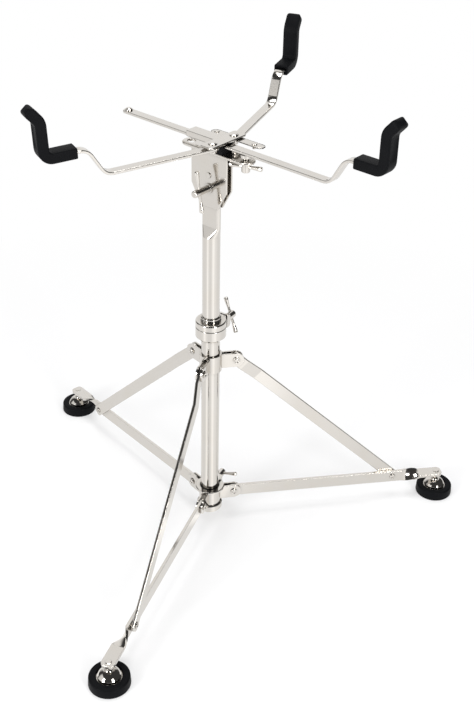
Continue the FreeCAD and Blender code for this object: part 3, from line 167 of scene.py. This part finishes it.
class StandStage(bpy.types.PropertyGroup):
    """Camera and light."""

    azimuth: FloatProperty(
        name="Azimuth", description="Side from which the camera looks", subtype="ANGLE",
        default=math.radians(19.16))
    elevation: FloatProperty(
        name="Elevation", description="Camera's angle above the floor", subtype="ANGLE",
        default=math.radians(32.38))
    roll: FloatProperty(
        name="Roll", description="Turn of the camera about its own axis", subtype="ANGLE",
        default=math.radians(1.22))
    distance: FloatProperty(
        name="Distance", description="From the camera to its aim", unit="LENGTH", default=1.3285)
    aim_side: FloatProperty(
        name="Aim side", description="Aim to the right of the column", unit="LENGTH", default=0.0306)
    aim_height: FloatProperty(
        name="Aim height", description="Aim above the floor", unit="LENGTH", default=0.2398)
    lens: FloatProperty(
        name="Lens", description="Focal length for a 36 mm long side, in millimetres", default=58.24)
    floor_radius: FloatProperty(
        name="Floor radius", description="Radius of the studio floor", unit="LENGTH", default=8)
    room_light: FloatProperty(
        name="Room light", description="Strength of the even light from all sides", min=0, default=0.62)
    dark_side: FloatProperty(
        name="Dark side", description="Brightness of the unlit room behind the camera, in reflections",
        min=0, max=1, default=0.05)
    panel_light: FloatProperty(
        name="Panel light", description="Brightness of the two light panels, in reflections",
        min=0, default=1.6)
    shadow_radius: FloatProperty(
        name="Shadow radius", description="Distance from the column at which the floor is wholly white",
        unit="LENGTH", default=0.85)


class Wire:
    """An output in a node tree. Arithmetic on it adds Math nodes."""

    def __init__(self, graph, socket):
        self.graph = graph
        self.socket = socket

    def math(self, operation, first, second):
        return self.graph.add("ShaderNodeMath", {"operation": operation}, {0: first, 1: second})

    def __add__(self, other):
        return self.math("ADD", self, other)

    def __sub__(self, other):
        return self.math("SUBTRACT", self, other)

    def __rsub__(self, other):
        return self.math("SUBTRACT", other, self)

    def __mul__(self, other):
        return self.math("MULTIPLY", self, other)

    def __pow__(self, other):
        return self.math("POWER", self, other)

    __radd__ = __add__
    __rmul__ = __mul__

    def __truediv__(self, other):
        return self.math("DIVIDE", self, other)

    def at_most(self, other):
        return self.math("MINIMUM", self, other)


class Graph:
    """A node tree with one way to add a node: its type, its settings, then its sockets."""

    def __init__(self, tree):
        self.tree = tree
        tree.nodes.clear()

    def add(self, kind, settings=None, sockets=None, output=0):
        node = self.tree.nodes.new(kind)
        for name, value in (settings or {}).items():
            if name == "stops":
                self.set_stops(node.color_ramp, value)
            else:
                setattr(node, name, value)
        for key, value in (sockets or {}).items():
            if isinstance(value, Wire):
                self.tree.links.new(value.socket, node.inputs[key])
            else:
                node.inputs[key].default_value = value
        return Wire(self, node.outputs[output]) if node.outputs else None

    @staticmethod
    def set_stops(ramp, stops):
        while len(ramp.elements) < len(stops):
            ramp.elements.new(1)
        for element, (position, colour) in zip(ramp.elements, stops):
            element.position = position
            element.color = colour

    def parts(self, vector):
        """The three numbers of a vector."""
        return [self.add("ShaderNodeSeparateXYZ", None, {"Vector": vector}, axis) for axis in "XYZ"]

    def ramp(self, share, stops):
        """A grey value that follows stops of (share, grey)."""
        greys = [(place, (grey, grey, grey, 1.0)) for place, grey in stops]
        return self.add("ShaderNodeValToRGB", {"stops": greys}, {"Fac": share})

    def noise(self, place, scale, detail=2.0, roughness=0.5):
        sockets = {"Vector": place, "Scale": scale, "Detail": detail, "Roughness": roughness}
        return self.add("ShaderNodeTexNoise", None, sockets)

    def blend(self, share, one, other):
        """A colour between two, by a share from 0 to 1."""
        return self.add("ShaderNodeMix", {"data_type": "RGBA"}, {0: share, 6: one, 7: other}, 2)

    def tint(self, colour, share):
        """A colour times a grey value."""
        grey = self.add("ShaderNodeCombineColor", None, {0: share, 1: share, 2: share})
        settings = {"data_type": "RGBA", "blend_type": "MULTIPLY"}
        return self.add("ShaderNodeMix", settings, {0: 1.0, 6: colour, 7: grey}, 2)


def opaque(colour):
    return (*colour, 1.0)


def new_material(name):
    material = bpy.data.materials.new(name)
    material.use_nodes = True
    return material, Graph(material.node_tree)


def finish_surface(graph, constants, varying):
    """A Principled surface: constants go on its sockets, and what varies is linked."""
    shader = graph.add("ShaderNodeBsdfPrincipled", None, {**constants, **varying})
    graph.add("ShaderNodeOutputMaterial", None, {"Surface": shader})


def nickel(name, colour, roughness, grain, edge):
    """Polished nickel plate: faint clouding, fingered gloss, fine polishing grain, and painted shade in crevices,
    where ambient occlusion darkens the colour and dulls the gloss.
    """
    material, graph = new_material(name)
    place = graph.add("ShaderNodeTexCoord", output="Object")
    cloud = graph.noise(place, scale=38.0, detail=3.0)
    smear = graph.noise(place, scale=90.0, detail=4.0, roughness=0.62)
    peel = graph.noise(place, scale=420.0, detail=1.0)
    scratch = graph.noise(place, scale=2600.0, roughness=0.7)
    ambient_occlusion = graph.add("ShaderNodeAmbientOcclusion", {"samples": 6}, {"Distance": 0.006}, "AO")
    warm = tuple(value * share for value, share in zip(colour, CLOUD_TINT))
    tone = graph.blend(cloud, opaque(colour), opaque(warm))
    # Painted shade: the plate's colour is darkened by ambient occlusion in crevices and between parts.
    plate = graph.tint(tone, 0.62 + 0.38 * ambient_occlusion)
    gloss = roughness * 0.72 + roughness * 0.5 * smear + 0.05 * (1.0 - ambient_occlusion)
    height = 0.75 * peel + grain * scratch
    eased = graph.add("ShaderNodeBevel", {"samples": 4}, {"Radius": edge})
    sockets = {"Strength": 0.06, "Distance": 0.0004, "Height": height, "Normal": eased}
    bump = graph.add("ShaderNodeBump", None, sockets)
    finish_surface(
        graph,
        {"Metallic": 1.0},
        {"Base Color": plate, "Roughness": gloss, "Normal": bump},
    )
    return material


def rubber(name, colour, roughness):
    """Moulded black rubber: a fine matt skin, faint bloom and slightly glossier rubbed patches."""
    material, graph = new_material(name)
    place = graph.add("ShaderNodeTexCoord", output="Object")
    bloom = graph.noise(place, scale=70.0, detail=4.0, roughness=0.6)
    skin = graph.noise(place, scale=1900.0, roughness=0.6)
    dimple = graph.noise(place, scale=320.0, detail=1.0)
    pale = tuple(value * 1.7 + 0.0008 for value in colour)
    tone = graph.blend(bloom ** 2.0, opaque(colour), opaque(pale))
    gloss = roughness - 0.07 + 0.16 * bloom
    height = 0.6 * skin + 0.4 * dimple
    bump = graph.add("ShaderNodeBump", None, {"Strength": 0.22, "Distance": 0.0003, "Height": height})
    finish_surface(
        graph,
        {"Metallic": 0.0, "IOR": 1.5, "Specular IOR Level": 0.06},
        {"Base Color": tone, "Roughness": gloss, "Normal": bump},
    )
    return material


def seen_rays(graph):
    """Three values, each one for its own rays and nought for the rest: camera, glass, reflections."""
    camera = graph.add("ShaderNodeLightPath", output="Is Camera Ray")
    glossy = graph.add("ShaderNodeLightPath", output="Is Glossy Ray")
    clear = graph.add("ShaderNodeLightPath", output="Is Transmission Ray")
    return camera, clear, glossy


def side_of_room(graph, direction, azimuth):
    """Share of a full turn at which a direction lies: a half towards the camera, more to its right."""
    sockets = {"Vector": direction, "Angle": math.pi / 2 - azimuth}
    turned = graph.add("ShaderNodeVectorRotate", {"rotation_type": "Z_AXIS"}, sockets)
    x, y, _ = graph.parts(turned)
    return 0.5 + graph.add("ShaderNodeMath", {"operation": "ARCTAN2"}, {0: y, 1: x}) / (2 * math.pi)


def at_degrees(*stops):
    """Stops of a ramp, from degrees to the camera's right and a grey value."""
    return [(0.5 + degrees / 360, grey) for degrees, grey in stops]


def panel_light(graph, side, strength):
    """Brightness of the surroundings by side: white, with two brighter panels beside the camera."""
    stops = at_degrees(
        (-180, 0), (-75, 0), (-57, 0.2), (-43, 1), (-30, 0.2), (-16, 0), (5, 0), (12, 0.5), (35, 1),
        (48, 0.35), (64, 0.3), (80, 0.1), (95, 0), (180, 0))
    return 1.0 + (strength - 1.0) * graph.ramp(side, stops)


def floor_paper(name, stage):
    """White paper: wholly white away from the stand, and with the stand's shadow near it."""
    material, graph = new_material(name)
    place = graph.add("ShaderNodeTexCoord", output="Object")
    camera, clear, glossy = seen_rays(graph)
    away = graph.add("ShaderNodeVectorMath", {"operation": "LENGTH"}, {0: place}, "Value")
    plain = (0.25 + 0.75 * (away / stage.shadow_radius) ** 2.0).at_most(1.0)
    share = ((camera + clear) * plain + 0.75 * glossy).at_most(1.0)
    panels = panel_light(graph, side_of_room(graph, place, stage.azimuth), stage.panel_light)
    strength = 1.0 + glossy * (panels - 1.0)
    lit = graph.add("ShaderNodeBsdfDiffuse", None, {"Color": opaque((0.88, 0.88, 0.885))})
    glow = graph.add("ShaderNodeEmission", None, {"Color": WHITE, "Strength": strength})
    mixed = graph.add("ShaderNodeMixShader", None, {0: share, 1: lit, 2: glow})
    graph.add("ShaderNodeOutputMaterial", None, {"Surface": mixed})
    return material


def studio_world(scene, stage):
    """White surroundings; reflections also show two light panels and the unlit room behind the camera."""
    world = bpy.data.worlds.new("studio")
    world.use_nodes = True
    scene.world = world
    graph = Graph(world.node_tree)
    camera, clear, glossy = seen_rays(graph)
    direction = graph.add("ShaderNodeTexCoord", output="Generated")
    side = side_of_room(graph, direction, stage.azimuth)
    _, _, height = graph.parts(direction)
    low = graph.ramp(height, ((0, 1), (0.615, 1), (0.645, 0), (1, 0)))
    under_ceiling = graph.ramp(height, ((0, 1), (0.78, 1), (0.88, 0), (1, 0)))
    back = graph.ramp(side, at_degrees((-180, 1), (-145, 1), (-122, 0), (142, 0), (158, 1), (180, 1)))
    panels = graph.ramp(side, at_degrees(
        (-180, 0), (-104, 0), (-92, 0.8), (-40, 1), (-34, 0), (24, 0), (29, 1), (43, 1), (48, 0), (180, 0)))
    wall = stage.dark_side + under_ceiling * back + low * panels
    white, fill, room = (
        graph.add("ShaderNodeBackground", None, {"Color": WHITE, "Strength": strength})
        for strength in (1.0, stage.room_light, wall)
    )
    plain = graph.add("ShaderNodeMixShader", None, {0: (camera + clear).at_most(1.0), 1: fill, 2: white})
    mixed = graph.add("ShaderNodeMixShader", None, {0: glossy, 1: plain, 2: room})
    graph.add("ShaderNodeOutputWorld", None, {"Surface": mixed})


def link(thing):
    bpy.context.scene.collection.objects.link(thing)
    return thing


def mesh_piece(name, bm, body, material, slot, *nodes):
    """A finished piece from a bmesh: it rides on a body, and stands for CAD nodes where some are named."""
    mesh = bpy.data.meshes.new(name)
    bm.to_mesh(mesh)
    bm.free()
    mesh.materials.append(material)
    piece = link(bpy.data.objects.new(name, mesh))
    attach(piece, body)
    if nodes:
        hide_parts(*nodes)
    return piece


def smooth(bm):
    """Merge doubles, turn every face outwards and shade it smooth."""
    bmesh.ops.remove_doubles(bm, verts=bm.verts, dist=DOUBLES)
    bmesh.ops.recalc_face_normals(bm, faces=bm.faces)
    for face in bm.faces:
        face.smooth = True
    return bm


def skin(rings):
    """A closed bmesh over rings of equally many points, with both ends capped."""
    bm = bmesh.new()
    rows = [[bm.verts.new(point) for point in ring] for ring in rings]
    for row, following in zip(rows, rows[1:]):
        for number, vertex in enumerate(row):
            bm.faces.new((row[number - 1], vertex, following[number], following[number - 1]))
    bm.faces.new(rows[0])
    bm.faces.new(rows[-1])
    return smooth(bm)


def arc(centre_x, centre_y, radius, start, end, steps):
    """Points of an arc between two angles in degrees, both ends included."""
    angles = [math.radians(start + (end - start) * step / steps) for step in range(steps + 1)]
    return [(centre_x + radius * math.cos(angle), centre_y + radius * math.sin(angle)) for angle in angles]


def grip_section(half_width, half_depth, corner, panel, edge, dent):
    """Rounded rectangle as (across, outward) points, with a sunk panel in its outer face."""
    wide, deep = half_width - corner, half_depth - corner
    outer = [(-panel - edge, 0), (-panel, dent), (0, dent), (panel, dent), (panel + edge, 0)]
    points = [(across, half_depth - sunk) for across, sunk in outer]
    for side, level, start in ((1, 1, 90), (1, -1, 0), (-1, -1, -90), (-1, 1, -180)):
        points += arc(side * wide, level * deep, corner, start, start - 90, steps=4)
    return points


def grip_stations(sizes):
    """Places along a grip's middle line: x from its riser, z, heading, inset of the section, panel's depth."""
    low = sizes.rise
    bend, turn, lean = sizes.foot_bend, sizes.tip_bend, sizes.tip_angle
    top = low + sizes.riser - turn
    start = -sizes.sleeve
    rim, end = sizes.rim_round, sizes.tip_round
    flat, upright = 0.0, math.pi / 2
    stations = []
    for inset, on in arc(rim, rim, rim, 180, 270, steps=3):
        stations.append((start + inset, low, flat, on, 0))
    stations.append((-bend, low, flat, 0, 0))
    for x, z in arc(-bend, low + bend, bend, -90, 0, steps=12)[1:]:
        heading = math.atan2(x + bend, low + bend - z)
        stations.append((x, z, heading, 0, 0))
    sunk_low, sunk_high = low + bend + 3 * sizes.panel_edge, top
    for z, dent in ((sunk_low, 0), (sunk_low + 2 * sizes.panel_edge, sizes.panel_depth),
                    (sunk_high - 2 * sizes.panel_edge, sizes.panel_depth), (sunk_high, 0)):
        stations.append((0, z, upright, 0, dent))
    for x, z in arc(turn, top, turn, 180, 180 - math.degrees(lean), steps=8)[1:]:
        stations.append((x, z, math.atan2(turn - x, z - top), 0, 0))
    x, z, _, _, _ = stations[-1]
    heading = upright - lean
    for inset, on in arc(end, 0, end, 180, 90, steps=5):
        along = sizes.tip - end + on
        stations.append((x + math.cos(heading) * along, z + math.sin(heading) * along, heading, inset, 0))
    return stations


def grip_rings(sizes):
    """Rings of a grip in its arm's frame, from the blind end of its bore, over the rim and on to the tip."""
    rings = []
    start = -sizes.sleeve
    bore = (sizes.bore_width / 2, sizes.bore_height / 2, sizes.rim_round / 4)
    for x in (start + sizes.bore_depth, start + sizes.rim_round):
        rings.append([(x, across, sizes.rise - out) for across, out in plain_section(*bore)])
    for x, z, heading, inset, dent in grip_stations(sizes):
        corner = max(sizes.corner - inset, sizes.corner / 4)
        half_width, half_depth = sizes.width / 2 - inset, sizes.thickness / 2 - inset
        panel = min(sizes.panel_half, half_width - corner - sizes.panel_edge)
        section = grip_section(half_width, half_depth, corner, panel, sizes.panel_edge, dent)
        sine, cosine = math.sin(heading), math.cos(heading)
        rings.append([(x + out * sine, across, z - out * cosine) for across, out in section])
    return rings


def plain_section(half_width, half_depth, corner):
    """The bore's section, with as many points as a grip's."""
    return grip_section(half_width, half_depth, corner, half_width / 2, half_width / 8, 0)


def lathe(profile, segments, centre):
    """A closed turned shape from a profile that starts and ends on the axis."""
    bm = bmesh.new()
    verts = [bm.verts.new((radius, 0, height)) for radius, height in profile]
    edges = [bm.edges.new(pair) for pair in zip(verts, verts[1:])]
    bmesh.ops.spin(bm, geom=verts + edges, cent=(0, 0, 0), axis=UP, angle=2 * math.pi, steps=segments)
    bmesh.ops.translate(bm, verts=bm.verts, vec=centre)
    return smooth(bm)


def rim_tree(material, steps):
    """Geometry nodes that set a ring on every point, square to the point's facing."""
    tree = bpy.data.node_groups.new("rivet_rims", "GeometryNodeTree")
    tree.interface.new_socket("Points", in_out="INPUT", socket_type="NodeSocketGeometry")
    for name in ("Rim radius", "Wire radius"):
        tree.interface.new_socket(name, in_out="INPUT", socket_type="NodeSocketFloat")
    tree.interface.new_socket("Rims", in_out="OUTPUT", socket_type="NodeSocketGeometry")
    graph = Graph(tree)
    points, rim, wire = (
        graph.add("NodeGroupInput", output=name) for name in ("Points", "Rim radius", "Wire radius")
    )
    path = graph.add("GeometryNodeCurvePrimitiveCircle", None, {"Resolution": steps, "Radius": rim})
    round_wire = graph.add("GeometryNodeCurvePrimitiveCircle", None, {"Resolution": 12, "Radius": wire})
    ring = graph.add("GeometryNodeCurveToMesh", None, {"Curve": path, "Profile Curve": round_wire})
    facing = graph.add("GeometryNodeInputNamedAttribute", {"data_type": "FLOAT_VECTOR"}, {"Name": "facing"})
    turn = graph.add("FunctionNodeAlignRotationToVector", {"axis": "Z"}, {"Vector": facing})
    sockets = {"Points": points, "Instance": ring, "Rotation": turn}
    rims = graph.add("GeometryNodeInstanceOnPoints", None, sockets)
    real = graph.add("GeometryNodeRealizeInstances", None, {"Geometry": rims})
    soft = graph.add("GeometryNodeSetShadeSmooth", None, {"Geometry": real})
    plated = graph.add("GeometryNodeSetMaterial", None, {"Geometry": soft, "Material": material})
    graph.add("NodeGroupOutput", None, {0: plated})
    return tree


def make_rims(name, body, tree, spots, rim, wire):
    """One mesh of rolled rims for a body; spots are pairs of a place and the way it faces."""
    mesh = bpy.data.meshes.new(name)
    mesh.from_pydata([place for place, _ in spots], [], [])
    facing = mesh.attributes.new("facing", "FLOAT_VECTOR", "POINT")
    for item, (_, way) in zip(facing.data, spots):
        item.vector = way
    holder = link(bpy.data.objects.new(name + "_points", mesh))
    modifier = holder.modifiers.new("rims", "NODES")
    modifier.node_group = tree
    names = {item.name: item.identifier for item in tree.interface.items_tree if item.in_out == "INPUT"}
    modifier[names["Rim radius"]] = rim
    modifier[names["Wire radius"]] = wire
    shown = holder.evaluated_get(bpy.context.evaluated_depsgraph_get())
    rims = bpy.data.meshes.new_from_object(shown)
    holder.modifiers.clear()
    bpy.data.objects.remove(holder)
    rims.name = name
    piece = link(bpy.data.objects.new(name, rims))
    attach(piece, body)


def joint_place(name):
    return Vector(JOINTS[name]["pos_m"])


def across_leg(leg):
    """Sideways from a leg: the axis of its hinges."""
    return Vector(JOINTS["upper_leg_%s_swing" % leg]["axis"])


def round_edges(thing, radius):
    """Round sharp edges by modifiers: join split corners, join flat triangles, then bevel."""
    weld = thing.modifiers.new("join_corners", "WELD")
    weld.merge_threshold = SPLIT_CORNERS
    flatten = thing.modifiers.new("join_flats", "DECIMATE")
    flatten.decimate_type = "DISSOLVE"
    flatten.angle_limit = FLAT
    bevel = thing.modifiers.new("tumbled_edge", "BEVEL")
    bevel.width = radius
    bevel.segments = 3
    bevel.limit_method = "ANGLE"
    bevel.angle_limit = CREASE
    bevel.harden_normals = True
    bevel.use_clamp_overlap = False


class STAND_OT_plating(bpy.types.Operator):
    """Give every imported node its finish"""

    bl_idname = "stand.plating"
    bl_label = "Plate the metal pieces"

    def execute(self, context):
        finish = context.scene.stand_finish
        colour, edge = finish.nickel_colour, finish.polish_edge
        tube = nickel("polished_nickel", colour, finish.tube_roughness, grain=0.1, edge=edge)
        strip = nickel("strip_nickel", colour, finish.strip_roughness, grain=0.25, edge=edge)
        soft = rubber("moulded_rubber", finish.rubber_colour, finish.rubber_roughness)
        block = rubber("block_plastic", finish.block_colour, finish.rubber_roughness)
        flat = ("leg_front", "leg_right", "leg_left", "_arm", "_plate", "_bridge", "_bracket")
        for part in RECORD["subparts"]:
            name, slot = part["node"], part["material_slot"]
            material = {"rubber": soft, "black_plastic": block}.get(slot)
            if material is None:
                material = strip if name.endswith(flat) else tube
            node = frame["nodes"][name]
            node.data.materials.clear()
            node.data.materials.append(material)
            if material is strip:
                round_edges(node, finish.strip_edge)
        return {"FINISHED"}


class STAND_OT_struts(bpy.types.Operator):
    """Turn the twist of the lower struts to the other hand: mirror each strut in its own middle plane"""

    bl_idname = "stand.struts"
    bl_label = "Turn the struts' twist"

    def execute(self, context):
        plate = bpy.data.materials["strip_nickel"]
        for leg in LEGS:
            name = "lower_leg_" + leg
            node, middle = frame["nodes"][name], joint_place(name + "_swing")
            mirror = Matrix.Scale(-1, 4, across_leg(leg))
            flip = Matrix.Translation(middle) @ mirror @ Matrix.Translation(-middle)
            bm = bmesh.new()
            bm.from_mesh(node.data)
            bm.transform(flip @ node.matrix_world)
            smooth(bm)
            for edge in bm.edges:
                edge.smooth = edge.calc_face_angle(0) < CREASE
            piece = mesh_piece(name + "_turned", bm, BODY_OF[name], plate, "nickel", name)
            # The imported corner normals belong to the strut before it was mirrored.
            piece.data.attributes.remove(piece.data.attributes["custom_normal"])
            flats = piece.modifiers.new("even_flats", "WEIGHTED_NORMAL")
            flats.keep_sharp = True
        return {"FINISHED"}


class STAND_OT_grips(bpy.types.Operator):
    """Mould the three rubber grips over the arms' ends"""

    bl_idname = "stand.grips"
    bl_label = "Mould the grips"

    def execute(self, context):
        sizes = context.scene.stand_grips
        arm_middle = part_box("stop_screw")[0][2] + sizes.bore_height / 2
        rings = grip_rings(sizes)
        left, back = joint_place("left_arm_swing"), joint_place("back_arm_swing")
        arms = (
            ("right_grip", Vector((0, 0, 0)), sizes.slide_reach, sizes.slide_yaw, 0),
            ("left_grip", left, sizes.swing_reach, sizes.left_yaw, sizes.left_droop),
            ("back_grip", back, sizes.swing_reach, sizes.back_yaw, 0),
        )
        for name, pivot, reach, yaw, droop in arms:
            turn = Matrix.Rotation(yaw, 4, "Z") @ Matrix.Rotation(droop, 4, "Y")
            spot = Vector((pivot.x, pivot.y, arm_middle))
            place = Matrix.Translation(spot) @ turn @ Matrix.Translation((reach, 0, 0))
            bm = skin([[place @ Vector(point) for point in ring] for ring in rings])
            soft = bpy.data.materials["moulded_rubber"]
            mesh_piece(name + "_moulded", bm, BODY_OF[name], soft, "rubber", name)
        return {"FINISHED"}


class STAND_OT_feet(bpy.types.Operator):
    """Turn the three rubber feet"""

    bl_idname = "stand.feet"
    bl_label = "Turn the feet"

    def execute(self, context):
        sizes = context.scene.stand_feet
        radius, height, edge, lip = sizes.radius, sizes.height, sizes.rounding, sizes.lip_round
        upper = radius - sizes.draft
        seat, floor = sizes.recess_radius, sizes.height - sizes.recess_depth
        profile = [(0, 0)]
        profile += arc(radius - edge / 2, edge / 2, edge / 2, -90, 0, steps=5)
        profile += arc(upper - edge, height - edge, edge, 0, 90, steps=7)
        profile += arc(seat + lip, height - lip, lip, 90, 180, steps=4)
        profile += [(seat, floor), (0, floor)]
        for leg in LEGS:
            name = "foot_rubber_" + leg
            spot = joint_place("foot_%s_tilt" % leg)
            bm = lathe(profile, sizes.segments, Vector((spot.x, spot.y, 0)))
            soft = bpy.data.materials["moulded_rubber"]
            mesh_piece(name + "_moulded", bm, BODY_OF[name], soft, "rubber", name)
        return {"FINISHED"}


class STAND_OT_rivets(bpy.types.Operator):
    """Roll the rims of the hub pins and of the knee rivets"""

    bl_idname = "stand.rivets"
    bl_label = "Roll the rivet rims"

    def execute(self, context):
        sizes = context.scene.stand_rivets
        tree = rim_tree(bpy.data.materials["polished_nickel"], sizes.steps)
        for hub, body in (("upper", "base"), ("lower", "lower_hub")):
            spots = []
            for leg in LEGS:
                middle, way = joint_place("%s_leg_%s_swing" % (hub, leg)), across_leg(leg)
                spots += [(middle + side * way * sizes.pin_half, side * way) for side in (1, -1)]
            make_rims("%s_pin_rims" % hub, body, tree, spots, sizes.pin_rim, sizes.wire)
        front_way = across_leg("front")
        for strut in ("upper", "lower"):
            low, high = (Vector(corner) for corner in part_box("%s_leg_rivet_front" % strut))
            side = self.side_of(strut)
            for leg in LEGS:
                way = across_leg(leg)
                turn = front_way.rotation_difference(way).to_matrix()
                head = turn @ self.outer_end(low, high, front_way * side)
                spots = [(head, way * side)]
                name = "%s_knee_rim_%s" % (strut, leg)
                make_rims(name, "%s_leg_%s" % (strut, leg), tree, spots, sizes.knee_rim, sizes.wire)
        bpy.data.node_groups.remove(tree)
        return {"FINISHED"}

    @staticmethod
    def side_of(strut):
        """One if a strut lies on the positive side of its leg's hinge axis, else minus one."""
        upper, lower = (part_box("%s_leg_rivet_front" % name) for name in ("upper", "lower"))
        ahead = Vector(upper[0]) + Vector(upper[1]) - Vector(lower[0]) - Vector(lower[1])
        sign = 1 if ahead.dot(across_leg("front")) > 0 else -1
        return sign if strut == "upper" else -sign

    @staticmethod
    def outer_end(low, high, way):
        """Middle of a box's face on one side."""
        half = (high - low) / 2
        return (low + high) / 2 + way * abs(half.dot(way))


def seen_from(azimuth, elevation):
    """Direction from the stand to a place at an angle round it and an angle above the floor."""
    level = math.cos(elevation)
    return Vector((math.sin(azimuth) * level, -math.cos(azimuth) * level, math.sin(elevation)))


class STAND_OT_stage(bpy.types.Operator):
    """Lay the floor, hang the lights and set the camera"""

    bl_idname = "stand.stage"
    bl_label = "Set the stage"

    def execute(self, context):
        stage = context.scene.stand_stage
        studio_world(context.scene, stage)
        bm = bmesh.new()
        bmesh.ops.create_circle(bm, cap_ends=True, radius=stage.floor_radius, segments=64)
        mesh = bpy.data.meshes.new("studio_floor")
        bm.to_mesh(mesh)
        bm.free()
        mesh.materials.append(floor_paper("white_paper", stage))
        link(bpy.data.objects.new("studio_floor", mesh))
        back = seen_from(stage.azimuth, stage.elevation)
        right = Vector((math.cos(stage.azimuth), math.sin(stage.azimuth), 0))
        up = back.cross(right)
        aim = right * stage.aim_side + UP * stage.aim_height
        turned_right = right * math.cos(stage.roll) + up * math.sin(stage.roll)
        turned_up = up * math.cos(stage.roll) - right * math.sin(stage.roll)
        data = bpy.data.cameras.new("photo_camera")
        data.lens = stage.lens
        data.clip_start = 0.01
        data.clip_end = 100
        camera = link(bpy.data.objects.new("photo_camera", data))
        turn = Matrix((turned_right, turned_up, back)).transposed().to_4x4()
        camera.matrix_world = Matrix.Translation(aim + back * stage.distance) @ turn
        context.scene.camera = camera
        context.scene.view_settings.view_transform = "Standard"
        self.hang_lights(stage)
        return {"FINISHED"}

    def hang_lights(self, stage):
        """A large box overhead and a tall one on each side of the camera, all aimed at the stand."""
        centre = Vector((0, 0, 0.3))
        boxes = (
            ("top_box", 180, 84, 2.4, 1.2, 1.2, 26),
            ("left_box", -43, 16, 2.3, 0.5, 1.0, 24),
            ("right_box", 35, 16, 2.3, 0.5, 1.0, 22),
        )
        for name, side, lift, reach, width, height, power in boxes:
            away = seen_from(stage.azimuth + math.radians(side), math.radians(lift))
            data = bpy.data.lights.new(name, "AREA")
            data.shape = "RECTANGLE"
            data.size = width
            data.size_y = height
            data.energy = power
            lamp = link(bpy.data.objects.new(name, data))
            lamp.location = centre + away * reach
            lamp.rotation_euler = (-away).to_track_quat("-Z", "Y").to_euler()


class STAND_PT_panel(bpy.types.Panel):
    """The stand's operators and sizes"""

    bl_idname = "STAND_PT_panel"
    bl_label = "Snare drum stand"
    bl_space_type = "VIEW_3D"
    bl_region_type = "UI"
    bl_category = "Stand"

    def draw(self, context):
        for operator in OPERATORS:
            self.layout.operator(operator.bl_idname)
        for group in (getattr(context.scene, name) for name in GROUPS):
            for name in group.bl_rna.properties.keys():
                if name not in ("rna_type", "name"):
                    self.layout.prop(group, name)


OPERATORS = (
    STAND_OT_plating, STAND_OT_struts, STAND_OT_grips, STAND_OT_feet, STAND_OT_rivets, STAND_OT_stage,
)
GROUPS = {
    "stand_finish": StandFinish,
    "stand_grips": GripSizes,
    "stand_feet": FootSizes,
    "stand_rivets": RivetSizes,
    "stand_stage": StandStage,
}
CLASSES = (*GROUPS.values(), *OPERATORS, STAND_PT_panel)


def register():
    for item in CLASSES:
        bpy.utils.register_class(item)
    for name, group in GROUPS.items():
        setattr(bpy.types.Scene, name, PointerProperty(type=group))


def unregister():
    for name in GROUPS:
        delattr(bpy.types.Scene, name)
    for item in reversed(CLASSES):
        bpy.utils.unregister_class(item)


def main():
    register()
    bpy.ops.stand.plating()
    bpy.ops.stand.struts()
    bpy.ops.stand.grips()
    bpy.ops.stand.feet()
    bpy.ops.stand.rivets()
    bpy.ops.stand.stage()


if __name__ == "__main__":
    main()
